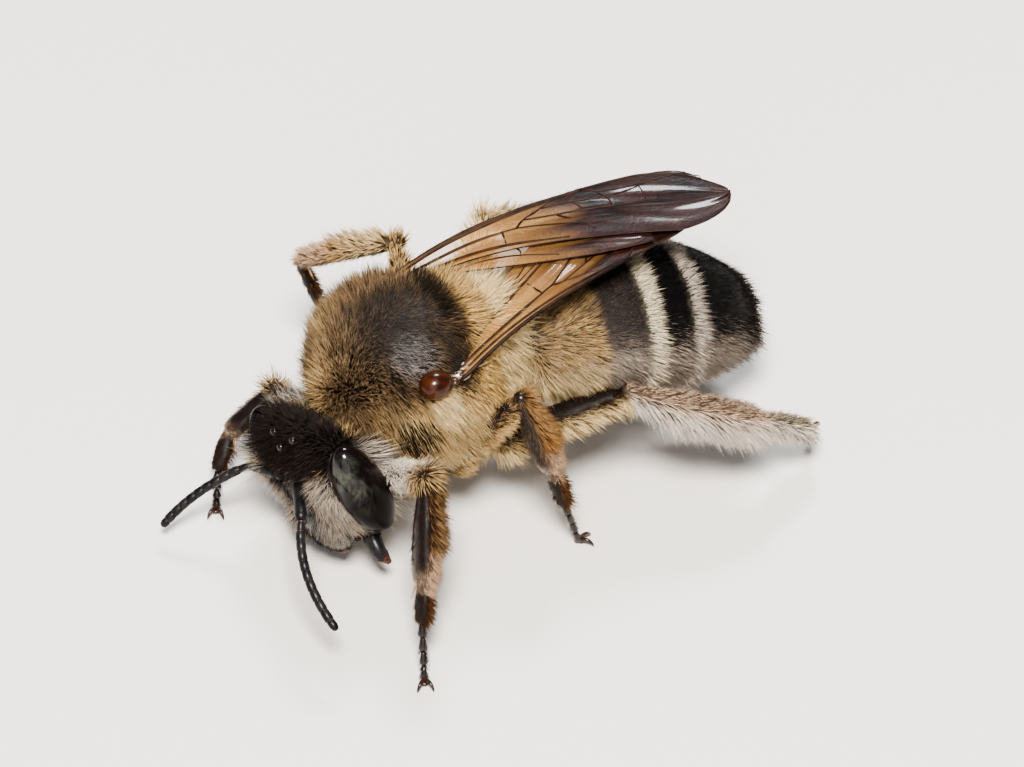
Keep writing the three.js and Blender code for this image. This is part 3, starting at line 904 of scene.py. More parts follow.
def foot(name):
    *_, heel, toe = leg_points(name)[0]
    start = heel.lerp(toe, 0.02)
    pieces = []
    for k in range(FOOT_JOINTS):
        a = start.lerp(toe, k / FOOT_JOINTS)
        b = start.lerp(toe, (k + 1) / FOOT_JOINTS)
        w = 0.135 - 0.008 * k
        last = k == FOOT_JOINTS - 1
        wide = [(0.0, 0.05, 0.05), (0.2, 0.6 * w, 0.6 * w), (0.75, w, 0.85 * w), (0.95, 0.75 * w, 0.7 * w)]
        slim = [(0.0, 0.05, 0.05), (0.4, 0.07, 0.07), (0.85, 0.12, 0.11), (1.0, 0.08, 0.08)]
        pieces.append(limb(a, b, slim if last else wide, sides=14))
    return pieces


# %% Claws and spurs
CLAW_TURN, CLAW_LENGTH = 30, 0.42


def claws(name):
    """Two hooks and a pad, set out level with the floor."""
    *_, heel, toe = leg_points(name)[0]
    inverse = STANCE.inverted()
    ground_toe, ground_heel = STANCE @ toe, STANCE @ heel
    ahead = ground_toe - ground_heel
    ahead.z = 0
    ahead.normalize()
    hooks = []
    for side in (1, -1):
        way = turn(side * CLAW_TURN, "Z") @ ahead
        mid = ground_toe + way * 0.24 + Vector((0, 0, 0.06))
        tip = ground_toe + way * CLAW_LENGTH
        tip.z = 0.025
        path = [ground_toe, mid, ground_toe + way * 0.38 + Vector((0, 0, -0.03)), tip]
        hooks.append(tube([inverse @ p for p in path], [0.06, 0.055, 0.035, 0.012]))
    pad = ground_toe + ahead * 0.1
    pad.z = 0.07
    hooks.append(ball(inverse @ pad, (0.08, 0.1, 0.06), 16, 10))
    return hooks


def spurs(name):
    _, knee, ankle, heel, _ = leg_points(name)[0]
    down = (heel - ankle).normalized()
    across = down.cross(Vector((0, 0, 1))).normalized()
    start = ankle.lerp(knee, 0.05)
    ends = [start + down * 0.55 + across * side * 0.3 for side in (1, -1)]
    starts = [start + across * side * 0.14 for side in (1, -1)]
    return [tube([a, b], [0.05, 0.012]) for a, b in zip(starts, ends)]


for name in LEGS:
    settled(joined(foot(name)), "foot_" + name, SHELL_BLACK, ["tarsus_" + name])
    settled(joined(claws(name)), "claws_" + name, SHELL_BROWN)
    settled(joined(spurs(name)), "spurs_" + name, SHELL_PALE)
print("feet", len(LEGS), "with", FOOT_JOINTS, "joints each")

# %% [markdown]
# ## Wings
# The wings are folded flat over the back, the right pair on top. Each is a thin sheet on one rising
# surface. A grid is laid out in the wing's own terms, the share of its length and of its width, and
# bent to the surface. Veins are tubes drawn in the same terms, so they always lie on the sheet.

# %% The wing's surface and edges
WING_LENGTH = 8.9
WING_ROOT = (2.35, 0.25, 0.85)
WING_RISE, WING_RISE_LENGTH = 2.0, 3.0
WING_SWING = {"left": 11, "right": 6}
WING_LEVEL = {"left": 0.0, "right": 0.22}
CHORD_ROOT, CHORD_FULL, CHORD_TIP, WIDEST = 0.65, 2.8, 1.55, 0.8
TIP_BEND = 0.74
HINDWING_SPAN, HINDWING_SHOWS = (0.2, 0.72), 0.6
HINDWING_DROP = -0.1


def costal_edge(s):
    """The leading edge is straight as far as the tip's bend."""
    return CHORD_TIP * (max(0, s - TIP_BEND) / (1 - TIP_BEND)) ** 2.2


def fore_edge(s):
    chord = mix(CHORD_ROOT, CHORD_FULL, min(s / WIDEST, 1) ** 1.15)
    beyond = math.sqrt(max(0, 1 - (max(0, s - WIDEST) / (1 - WIDEST)) ** 2))
    return CHORD_TIP + (chord - CHORD_TIP) * (beyond if s > WIDEST else 1)


def hind_edge(s):
    u = (s - HINDWING_SPAN[0]) / (HINDWING_SPAN[1] - HINDWING_SPAN[0])
    bulge = math.sin(math.pi * mix(0.06, 0.94, min(max(u, 0), 1))) ** 0.7
    return fore_edge(s) + 0.06 + HINDWING_SHOWS * bulge


def wing_spot(word, s, t, lift=0):
    """The point a share s along the wing and t mm in from its leading line."""
    side = 1 if word == "left" else -1
    swing = math.radians(WING_SWING[word])
    p = mirrored(WING_ROOT, side)
    p += Vector((-side * math.sin(swing), math.cos(swing), 0)) * s * WING_LENGTH
    p += Vector((-side * math.cos(swing), -math.sin(swing), 0)) * t
    rise = 1 - math.exp(-max(p.y - WING_ROOT[1], 0) / WING_RISE_LENGTH)
    p.z += WING_RISE * rise + WING_LEVEL[word] + lift
    return p


# %% Pleats and membranes
SHEET_THICK = 0.025
SMOKE_FROM, SMOKE_SPAN = 0.22, 0.34


def pleat(s, c):
    """Folds that run along the wing, deepest in its middle, with finer ones between."""
    depth = math.sin(math.pi * min(max(c, 0), 1)) * min(1, 6 * s)
    return depth * (0.05 * math.sin(9 * c + 2.2 * s) + 0.014 * math.sin(31 * c + 6 * math.sin(5 * s)))


def smoke(s, c):
    drift = s + 0.04 * math.sin(9 * c + 1) + 0.02 * math.sin(23 * c + 7 * s)
    return min(max((drift - SMOKE_FROM) / SMOKE_SPAN, 0), 1)


def sheet(word, name, edges, span, level):
    deselect()
    bpy.ops.mesh.primitive_grid_add(x_subdivisions=80, y_subdivisions=36, size=2)
    obj = bpy.context.object
    shares = [(mix(*span, (v.co.x + 1) / 2), (v.co.y + 1) / 2) for v in obj.data.vertices]
    for vertex, (s, c) in zip(obj.data.vertices, shares):
        vertex.co = wing_spot(word, s, mix(*edges(s), c), level + pleat(s, c))
    stored(obj, "smoke", [smoke(s, c) for s, c in shares])
    modified(obj, "SOLIDIFY", thickness=SHEET_THICK, offset=0)
    settled(obj, name + "_" + word + "_sheet", WING, [name + "_" + word])
    obj.data.set_sharp_from_angle(angle=math.radians(40))


def fore_edges(s):
    return costal_edge(s), fore_edge(s)


def hind_edges(s):
    return 0.55 * fore_edge(s), hind_edge(s)


for word, side in SIDES:
    sheet(word, "forewing", fore_edges, (0.0, 0.997), 0)
    sheet(word, "hindwing", hind_edges, (0.04, HINDWING_SPAN[1]), HINDWING_DROP)
print("wings", WING_LENGTH, "mm long")

# %% [markdown]
# ### Wing roots
# Where the wing leaves the thorax, small dark hinge plates lie in a soft pale membrane. Both are tiny
# and half hidden, so a few stretched balls suggest them.

# %% Knobs and membrane at the wing roots
for word, side in SIDES:
    root = wing_spot(word, 0.0, 0.15)
    knobs = [
        ball(root + Vector((side * x, y, z)), (w, 0.12, 0.09), 16, 12)
        for x, y, z, w in ((0.12, -0.12, 0.06, 0.16), (-0.12, 0.02, 0.05, 0.1), (0.0, 0.14, 0.04, 0.09))
    ]
    settled(joined(knobs), "wing_root_knobs_" + word, SHELL_BROWN)
    skins = [
        ball(root + Vector((-side * 0.12, 0.1, 0.02)), (0.26, 0.34, 0.1), 24, 16),
        ball(root + Vector((-side * 0.1, 0.55, 0.2)), (0.08, 0.42, 0.06), 20, 14),
        ball(root + Vector((-side * 0.3, 0.5, 0.2)), (0.07, 0.36, 0.05), 20, 14),
    ]
    settled(joined(skins), "wing_root_skin_" + word, MEMBRANE)
print("wing root of the right side at", root)

# %% [markdown]
# ### Veins
# The veins stiffen the wing and frame its cells. Each is listed as points in shares of the length and
# of the width, with its half thickness. A long cell lies at the front edge, three smaller ones in a
# row behind it, and the tip has no veins. A thin hem runs round the free edges.

# %% Veins of both wings
FORE_VEINS = [
    ([(0.0, 0.03), (0.2, 0.02), (0.4, 0.015), (0.6, 0.01)], 0.05),
    ([(0.0, 0.25), (0.15, 0.17), (0.35, 0.1), (0.52, 0.05), (0.61, 0.02)], 0.036),
    ([(0.6, 0.01), (0.7, 0.01), (0.8, 0.02), (0.87, 0.03)], 0.035),
    ([(0.6, 0.03), (0.64, 0.12), (0.72, 0.17), (0.8, 0.14), (0.87, 0.04)], 0.03),
    ([(0.0, 0.5), (0.12, 0.45), (0.26, 0.4), (0.38, 0.42)], 0.042),
    ([(0.38, 0.42), (0.4, 0.32), (0.45, 0.2), (0.52, 0.06)], 0.03),
    ([(0.0, 0.8), (0.12, 0.82), (0.3, 0.86), (0.5, 0.94)], 0.042),
    ([(0.34, 0.4), (0.335, 0.6), (0.33, 0.81)], 0.028),
    ([(0.38, 0.42), (0.46, 0.56), (0.54, 0.7), (0.58, 0.84)], 0.028),
    ([(0.41, 0.3), (0.5, 0.36), (0.6, 0.4), (0.72, 0.42), (0.8, 0.4)], 0.028),
    ([(0.47, 0.17), (0.56, 0.2), (0.64, 0.24), (0.72, 0.22), (0.78, 0.17)], 0.028),
    ([(0.56, 0.2), (0.575, 0.3), (0.58, 0.39)], 0.024),
    ([(0.64, 0.14), (0.66, 0.28), (0.665, 0.41)], 0.024),
    ([(0.76, 0.17), (0.765, 0.28), (0.76, 0.41)], 0.024),
    ([(0.5, 0.36), (0.53, 0.5), (0.56, 0.74)], 0.024),
    ([(0.62, 0.4), (0.68, 0.58), (0.7, 0.74)], 0.024),
    ([(0.56, 0.74), (0.64, 0.72), (0.72, 0.7)], 0.022),
]
HIND_VEINS = [
    ([(0.1, 0.3), (0.3, 0.25), (0.5, 0.3), (0.66, 0.4)], 0.03),
    ([(0.1, 0.6), (0.3, 0.66), (0.45, 0.86)], 0.026),
    ([(0.34, 0.27), (0.36, 0.5), (0.35, 0.74)], 0.022),
]
FORE_HEM = ([(0.02 + 0.024 * k, 1.0) for k in range(41)], 0.018)
TIP_HEM = ([(0.86 + 0.012 * k, 0.0) for k in range(12)], 0.018)
HIND_HEM = ([(0.1 + 0.0155 * k, 1.0) for k in range(41)], 0.016)


# %% Draw the veins
VEIN_LIFT = 0.01


def veins(word, name, table, edges, level):
    tubes = []
    for path, half in table:
        points = [
            wing_spot(word, s, mix(*edges(s), c), level + pleat(s, c) + VEIN_LIFT) for s, c in path
        ]
        radii = [*[half] * (len(points) - 1), 0.7 * half]
        tubes.append(tube(points, radii, resolution=10, sides=2))
    settled(joined(tubes), name, VEIN)


for word, side in SIDES:
    veins(word, "forewing_veins_" + word, [*FORE_VEINS, FORE_HEM, TIP_HEM], fore_edges, 0)
    veins(word, "hindwing_veins_" + word, [*HIND_VEINS, HIND_HEM], hind_edges, HINDWING_DROP)
print("veins in a forewing", len(FORE_VEINS), "in a hindwing", len(HIND_VEINS))


# %% [markdown]
# ## The coat
# A bee's hair is part of its form: it gives the round thorax, the pale bands and the thick brushes of
# the hind legs. Each hair here is a thin closed spike along the lie of the coat. Short ones are
# straight and have four points, long ones bend once and have seven. Solid spikes look the same in
# any program, which Blender's own hair curves would not.
# Roots are strewn over the skin itself, and each root asks which form it stands on, so that the coat
# can change in length, lie and colour from place to place.

# %% Small helpers for arrays
def to_array(points):
    return np.array([tuple(p) for p in points])


def unit(v):
    return v / np.maximum(np.linalg.norm(v, axis=-1, keepdims=True), 1e-9)


def step(low, high, x):
    """0 below low, 1 above high, smooth between; low may be the greater."""
    t = np.clip((x - low) / (high - low), 0, 1)
    return t * t * (3 - 2 * t)


def blend(a, b, share):
    return np.asarray(a) + (np.asarray(b) - np.asarray(a)) * np.asarray(share)[..., None]


def tint_points(mesh, tint):
    mesh.color_attributes.new("tint", "FLOAT_COLOR", "POINT").data.foreach_set("color", tint.ravel())


# %% Strew roots over a mesh
def strewn(mesh, per_mm2):
    """Points and normals spread evenly over a mesh."""
    mesh.calc_loop_triangles()
    co, normal = np.empty((2, 3 * len(mesh.vertices)), np.float32)
    mesh.vertices.foreach_get("co", co)
    mesh.vertex_normals.foreach_get("vector", normal)
    co, normal = (row.reshape(-1, 3).astype(float) for row in (co, normal))
    corners = np.empty(3 * len(mesh.loop_triangles), np.int32)
    mesh.loop_triangles.foreach_get("vertices", corners)
    corners = corners.reshape(-1, 3)
    a, b, c = (co[corners[:, k]] for k in range(3))
    area = np.linalg.norm(np.cross(b - a, c - a), axis=1) / 2
    count = int(area.sum() * per_mm2)
    pick = SEED.choice(len(area), count, p=area / area.sum())
    u, v = SEED.random((2, count))
    fold = u + v > 1
    u[fold], v[fold] = 1 - u[fold], 1 - v[fold]
    share = np.stack([1 - u - v, u, v], -1)[..., None]
    at = (co[corners[pick]] * share).sum(1)
    out = (normal[corners[pick]] * share).sum(1)
    return at, unit(out)


# %% [markdown]
# ### Which form a root stands on
# The skin is one mesh, but a head has other hair than a leg. The forms that were melted into the skin
# still tell where each begins: a root belongs to the form whose surface is nearest. Vertex groups
# painted by hand would do the same, with much more work.

# %% How far a point is from each form
def from_ball(p, centre, radii):
    return (np.linalg.norm((p - np.array(centre)) / radii, axis=1) - 1) * min(radii)


def from_rod(p, a, b, half):
    a, b = np.array(a), np.array(b)
    way = b - a
    t = np.clip((p - a) @ way / (way @ way), 0, 1)
    return np.linalg.norm(p - a - t[:, None] * way, axis=1) - half, t


HEAD_TURN = np.array(HEAD.to_3x3())


def in_head(p):
    return (p - np.array(HEAD.translation)) @ HEAD_TURN


SHARE_STEP = 3


def abdomen_place(p):
    """Share along the abdomen, angle round it (90 degrees is the back) and distance from its form."""
    axis = AXIS[::SHARE_STEP]
    near = np.argmin(((p[:, None] - axis[None]) ** 2).sum(-1), 1) * SHARE_STEP
    away = p - AXIS[near]
    s = AXIS_SHARE[near] + (away * AXIS_WAY[near]).sum(1) / ABDOMEN_LENGTH
    x, y = (away * AXIS_ACROSS[near]).sum(1), (away * AXIS_OVER[near]).sum(1)
    full = np.maximum(abdomen_fullness(np.clip(s, 0, ABDOMEN_TIP)), 0.1)
    ratio = np.hypot(x / ABDOMEN_HALVES[0], y / ABDOMEN_HALVES[1]) / full
    beyond = np.maximum(-s, 0) * ABDOMEN_LENGTH
    return s, np.arctan2(y, x), (ratio - 1) * 1.2 * full + beyond


# %% Name the form that each root stands on
REGIONS = ["thorax", "head", "neck", "abdomen"]
RODS = {}
for name in LEGS:
    (hip, knee, ankle, heel, toe), tibia, brush = leg_points(name)
    RODS[name, "femur"] = (hip, knee, FEMUR_HALF)
    RODS[name, "tibia"] = (knee, ankle, 0.8 * tibia)
    RODS[name, "brush"] = (ankle, heel, 0.8 * brush)


def region_of(p):
    q = in_head(p)
    gaps = [
        np.min([from_ball(p, *form) for form in (THORAX, SCUTELLUM, PROPODEUM)], 0),
        from_ball(q, *CAPSULE),
        from_rod(p, NECK[0], NECK[1], 0.55)[0],
        abdomen_place(p)[2],
    ]
    gaps += [from_rod(p, *rod)[0] for rod in RODS.values()]
    return np.argmin(gaps, 0)


# %% [markdown]
# ### Colours of the coat
# Hair colours are named once. Pale hairs dominate on the thorax with dark ones mixed in, the abdomen
# is black with two pale bands, the front legs are brown to fawn, the hind legs cream and silver-white.

# %% Hair colours
FAWN = (0.42, 0.262, 0.122)
OLIVE = (0.155, 0.096, 0.054)
GOLD = (0.5, 0.28, 0.062)
CREAM = (0.72, 0.51, 0.24)
PALE = (0.8, 0.63, 0.37)
SILVER = (0.56, 0.48, 0.4)
ASH = (0.3, 0.24, 0.19)
PAINTED_SHEEN_GREY = (0.36, 0.32, 0.31)
DUSK = (0.105, 0.082, 0.076)
PEACH = (0.78, 0.5, 0.31)
BLUSH = (0.87, 0.66, 0.47)
SNOW = (0.85, 0.76, 0.68)
UMBER = (0.06, 0.04, 0.022)
HONEY = (0.42, 0.27, 0.12)
FROST = (0.74, 0.66, 0.56)
BAND_WHITE = (0.78, 0.68, 0.5)
BLACK = (0.008, 0.006, 0.006)
BROWN = (0.05, 0.02, 0.009)
RUST = (0.24, 0.1, 0.03)
TAUPE = (0.22, 0.15, 0.085)
BROWN_TIP = (0.045, 0.031, 0.024)
ORANGE = (0.42, 0.19, 0.035)
DISC = (0.12, 0.088, 0.068)
SOOT = (0.03, 0.02, 0.012)

# %% [markdown]
# ### Qualities of the hair
# Length, lift from the skin, lie and colour change from place to place. They could be painted on the
# skin by hand. Formulas of the root's place are used instead, because then both sides match and a zone
# is moved by one number. Each zone is a soft mask, 1 inside and 0 outside, that blends a quality in.

# %% A record of the hairs of one place
class Coat:
    """The hairs of one place: arrays for length, lift, lie, colours and the share of places taken."""

    def __init__(self, p, n):
        count = len(p)
        self.p, self.n = p, n
        self.length = np.full(count, 0.4)
        self.lift = np.full((count, 2), (50.0, 25.0))
        self.lie = np.tile((0.0, 1.0, 0.0), (count, 1))
        self.root = np.tile(BLACK, (count, 1))
        self.tip = np.tile(BLACK, (count, 1))
        self.density = np.ones(count)
        self.half = np.full(count, 0.011)
        self.clump = np.full(count, 0.4)
        self.uv = np.zeros((count, 2))

    def paint(self, colour, share, tip=None):
        share = np.broadcast_to(share, self.length.shape)
        self.root = blend(self.root, colour, share)
        self.tip = blend(self.tip, colour if tip is None else tip, share)

    def dark_hairs(self, share, colour=BLACK):
        dark = SEED.random(len(self.p)) < share
        self.root[dark] = colour
        self.tip[dark] = colour


# %% Masks and places on the unwrapped coat
def ball_uv(d):
    """Longitude and latitude, for hairs on a round form."""
    x, y, z = unit(d).T
    return np.stack([np.arctan2(x, -y) / (2 * np.pi) + 0.5, np.arccos(z) / np.pi], -1)


def near(p, spot, reach):
    """1 at the spot, falling to 0 a reach away."""
    return step(reach, 0.4 * reach, np.linalg.norm(p - np.array(spot), axis=1))


def patchy(p, size):
    """A smooth, even pattern between 0 and 1, for tone that changes from lock to lock."""
    x, y, z = (p / size).T
    wave = np.sin(x + 1.7 * np.sin(y)) + np.sin(1.3 * y + 1.9 * np.sin(z))
    wave = wave + np.sin(1.1 * z + 2.1 * np.sin(x))
    return np.clip(0.5 + wave / 5, 0, 1)


# %% [markdown]
# ### Hair of the thorax
# The disc on top is dark and short-haired. Round it the hair is fawn, lower down golden, behind and
# below cream. Behind the head stands a dark collar, partly dark hair and partly painted shadow of the
# head. Below each wing root a dark tuft lies beside a cream one, and a painted sheen of pale grey lies
# on the near front of the disc. Hairs stand steeply on the sides and lie flat where the wings cover them.

# %% Coat of the thorax
DISC_AT, DISC_HALVES = (0.3, -0.55), (1.38, 1.2)
PAINTED_SHEEN_SPOT = (1.45, -0.75, 1.45)
COLLAR_AND_HEAD_SHADOW = (0.9, -2.3, 0.0)
DARK_TUFT, CREAM_TUFT = (2.0, -1.0, -0.3), (2.3, -0.25, 0.35)
WING_SIDE, WING_HINGE = (2.1, 0.45, 1.2), (2.3, 0.3, 1.1)
BARE_SPOT = (0.75, -0.85)


def thorax_coat(p, n):
    coat = Coat(p, n)
    left, back, up = p.T
    ring = np.hypot((left - DISC_AT[0]) / DISC_HALVES[0], (back - DISC_AT[1]) / DISC_HALVES[1])
    disc = step(1.4, 0.5, ring) * step(0.8, 1.3, up)
    ahead, far = step(-1.0, -1.9, back), step(-0.2, -1.2, left)
    # Toward the front the dark ring reaches lower down the thorax: there its darkness is painted shade
    # behind the head.
    round_disc = step(2.4, 1.0, ring) * step(0.1, 0.9, up + 1.4 * ahead) * (1 - 0.7 * far)
    low = step(0.9, 0.0, up)
    belly = step(-0.5, -1.6, up)
    rear = step(0.75, 1.0, back) * step(-0.4, 0.4, up)
    plume = step(1.3, 1.75, back) * step(-1.0, -0.2, up)
    tuft = step(0.2, 0.42, back) * step(0.85, 0.62, back)
    tuft = tuft * step(1.0, 1.5, up) * step(1.0, 0.5, left)
    mirror = p * (np.sign(left)[:, None] * (1, 0, 0) + (0, 1, 1))
    under = near(mirror, DARK_TUFT, 0.75)
    light = near(mirror, CREAM_TUFT, 0.6)
    wing_side = near(mirror, WING_SIDE, 0.75)
    tone, drift = patchy(p, 0.13), patchy(p, 0.3)
    coat.paint(OLIVE, 1.0, FAWN)
    coat.paint(FAWN, step(1.2, 1.8, ring), CREAM)
    coat.paint(UMBER, 0.95 * round_disc, blend(TAUPE, OLIVE, tone))
    coat.paint(GOLD, low * (1 - round_disc), blend(GOLD, PALE, 0.5 + 0.5 * drift))
    # Painted shadow of the head, mixed with the collar's own dark hair: umber to olive hair behind the
    # head.
    coat.paint(UMBER, 0.85 * near(mirror, COLLAR_AND_HEAD_SHADOW, 1.0), OLIVE)
    coat.paint(CREAM, belly, PALE)
    coat.paint(GOLD, rear, CREAM)
    coat.paint(CREAM, np.maximum(plume, light), PALE)
    coat.paint(DISC, 0.85 * disc, blend(DISC, TAUPE, 0.6 * step(-0.7, 0.1, back)))
    # Painted sheen: pale grey hair on the near front of the disc, where a highlight falls; the far side
    # gets none.
    coat.paint(PAINTED_SHEEN_GREY, 0.8 * near(p, PAINTED_SHEEN_SPOT, 0.8), PAINTED_SHEEN_GREY)
    dark = 0.08 + 0.26 * tone * (1 - belly) * (1 - plume)
    dark = dark + 0.2 * np.maximum(disc, round_disc) + 0.6 * tuft
    dark = np.maximum(dark * (1 - 0.75 * rear) * (1 - 0.6 * low), 0.85 * under) * (1 - light)
    coat.dark_hairs(dark, SOOT)
    far = step(-0.6, -1.6, left) * step(-0.2, 0.6, up)
    coat.length = 0.56 + 0.16 * low + 0.14 * belly + 0.16 * rear + 0.2 * plume - 0.34 * disc
    coat.length = (coat.length + 0.26 * far + 0.12 * np.maximum(under, light)) * (1 - 0.55 * wing_side)
    coat.lift = np.stack([62 - 26 * disc - 10 * low, 42 - 20 * disc - 12 * low - 6 * rear], -1)
    coat.lift = coat.lift + (14 * far + 10 * np.maximum(under, light))[:, None]
    covered = plume * step(0.2, -0.5, left)
    coat.length, coat.lift = coat.length * (1 - 0.3 * covered), coat.lift * (1 - 0.6 * covered[:, None])
    parted = 0.8 * np.clip(left, -1, 1)
    brow = step(-1.3, -2.1, back) * step(-1.2, 0.0, up)
    coat.lie = np.stack([parted, 0.6 - 0.3 * brow, 1.3 * brow - 0.2 - 0.75 * low + 0.3 * rear], -1)
    beneath = step(0.95, 1.35, np.abs(left)) * step(-0.2, 0.2, back) * step(0.1, 0.5, up)
    coat.length = coat.length * (1 - 0.25 * beneath)
    coat.lift = mix(coat.lift, (20, 5), beneath[:, None])
    bare = step(0.2, 0.08, np.hypot(left - BARE_SPOT[0], back - BARE_SPOT[1])) * step(1, 1.3, up)
    root = near(mirror, WING_HINGE, 0.62)
    coat.density = (1 - 0.6 * bare) * (1 - root) * (1 - 0.35 * belly)
    coat.half = 0.0092 - 0.002 * disc
    coat.clump = 0.26 + 0.25 * low - 0.1 * np.maximum(disc, round_disc)
    coat.uv = ball_uv(p - np.array(THORAX[0]))
    return coat


# %% [markdown]
# ### Hair of the head
# Face and crown are black. Silver hair stands beside the face and behind the eyes, and a fawn fringe
# along the back of the crown. The hair points down on the face, forward on the crown and backward on
# the temples. The mouth plate has hair of its own, pale on its flanks and black along its lower edge.

# %% Coat of the head
def head_coat(p, n):
    coat = Coat(p, n)
    q = in_head(p)
    left, back, up = q.T
    aside = np.abs(left)
    ones = np.ones(len(p))
    crown = step(0.15, 0.6, up)
    nape = step(0.5, 0.68, back) * step(0.7, 1.0, up) * step(0.5, 1.1, aside)
    cheek = np.maximum(step(0.4, 0, up), step(1.2, 1.5, aside) * step(1.2, 0.8, up))
    cheek = step(0.05, 0.3, back) * cheek
    inner = step(0.45, 0.75, aside) * step(0.5, 0.1, up)
    outer = step(0.85, 1.15, aside) * step(1.1, 0.75, up)
    beside = np.maximum(inner, outer) * step(-0.05, -0.3, back)
    vertex = step(0.8, 1.2, up) * (0.5 + 0.9 * step(0.5, 1.1, aside)) * step(2.1, 1.7, aside)
    far_side = beside * step(-0.2, -0.8, left)
    coat.paint(BLACK, 1.0)
    coat.paint(ASH, beside, blend(SILVER, FROST, 0.1))
    coat.paint(SILVER, cheek, FROST)
    coat.paint(FAWN, nape, CREAM)
    coat.dark_hairs(0.1 + 0.2 * (1 - np.maximum(beside, cheek)))
    brownish = (SEED.random(len(p)) < 0.5) & (coat.tip[:, 0] < 0.02)
    coat.tip[brownish] = BROWN_TIP
    pale = (SEED.random(len(p)) < 0.05) & (back < 0) & (up < 1.1)
    coat.tip[pale] = coat.root[pale] = FAWN
    coat.length = 0.2 + 0.3 * beside + 0.5 * cheek + 0.4 * nape + 0.2 * vertex * (1 - nape)
    coat.length = coat.length + 0.2 * far_side
    coat.length = (coat.length + 0.12 * crown * (1 - nape)) * (1 - 0.4 * step(-0.9, -1.3, up))
    down = np.stack([0.25 * left - 0.5 * far_side, 0.1 * ones, -ones], -1)
    forward = np.stack([0.2 * left, -0.9 * ones, 0.2 * ones], -1)
    rearward = np.stack([0.2 * left, 0.3 * ones, ones], -1)
    temple = step(0.0, 0.25, back) * step(1.0, 1.4, aside)
    temple = temple * step(1.3, 0.9, up) * step(-1.2, -0.6, up)
    outward = np.stack([-0.8 * ones, -0.5 * ones, 0.3 * ones], -1)
    over_eye = step(-0.8, -1.3, left) * step(0.5, 0.9, up) * (1 - nape)
    swept = np.stack([0.5 * np.sign(left), 0.85 * ones, -0.35 * ones], -1)
    coat.length = coat.length + 0.35 * temple
    lie = blend(blend(blend(down, forward, crown), rearward, nape), swept, temple)
    lie = blend(lie, outward, over_eye)
    coat.length = coat.length + 0.15 * over_eye
    coat.lie = lie @ HEAD_TURN.T
    coat.lift = np.stack([34 + 26 * crown, 14 + 30 * crown], -1)
    stripe = step(-0.2, -0.4, back) * step(0.5, 0.25, aside) * step(1.0, 0.6, up)
    coat.density = 1 - 0.8 * stripe
    coat.half = np.full(len(p), 0.0085)
    coat.clump = 0.2 + 0.2 * cheek + 0.2 * beside
    coat.uv = ball_uv(q)
    return coat


def neck_coat(p, n):
    coat = Coat(p, n)
    coat.paint(FAWN, 0.6, CREAM)
    coat.density = coat.density * 0.5
    coat.uv = np.stack([0.5 + 0.1 * p[:, 0], 0.5 + 0.1 * p[:, 2]], -1) % 1
    return coat


# %% Coat of the mouth plate: silver on its flanks, a black fringe along its lower edge
def clypeus_coat(p, n):
    coat = Coat(p, n)
    left, back, up = in_head(p).T
    flank = step(0.3, 0.6, np.abs(left))
    edge = step(-1.35, -1.6, up)
    coat.paint(ASH, flank, blend(SILVER, FROST, 0.1))
    coat.dark_hairs(0.12 + 0.88 * edge)
    coat.length = 0.4 - 0.22 * step(-1.1, -1.45, up) + 0.15 * step(-0.3, -0.7, left)
    coat.lie = np.tile((0.0, -0.1, -1.0), (len(p), 1)) @ HEAD_TURN.T
    coat.lift = np.full((len(p), 2), (34.0, 12.0))
    coat.density = (0.15 + 0.85 * np.maximum(flank, edge)) * (back < -0.75)
    coat.half = np.full(len(p), 0.009)
    coat.uv = ball_uv(in_head(p) - np.array(CLYPEUS_AT))
    return coat


# %% [markdown]
# ### Hair of the abdomen
# The first ring is fawn, the rest black with two pale bands that are sharp in front and ragged behind.
# Long grey hair hangs low on the sides and the tail is brownish. All this follows the share along the
# abdomen and the angle round it, so the bands run round the body like the edges of its rings.

# %% Coat of the abdomen
BANDS, BAND_EDGE, BAND_SLANT = ((0.374, 0.424), (0.55, 0.596)), 0.008, 0.035


def band(ring, start, end, ragged):
    """1 from start to end along the abdomen, 0 elsewhere."""
    return step(start, start + BAND_EDGE, ring) * step(end + ragged, end - BAND_EDGE + ragged, ring)


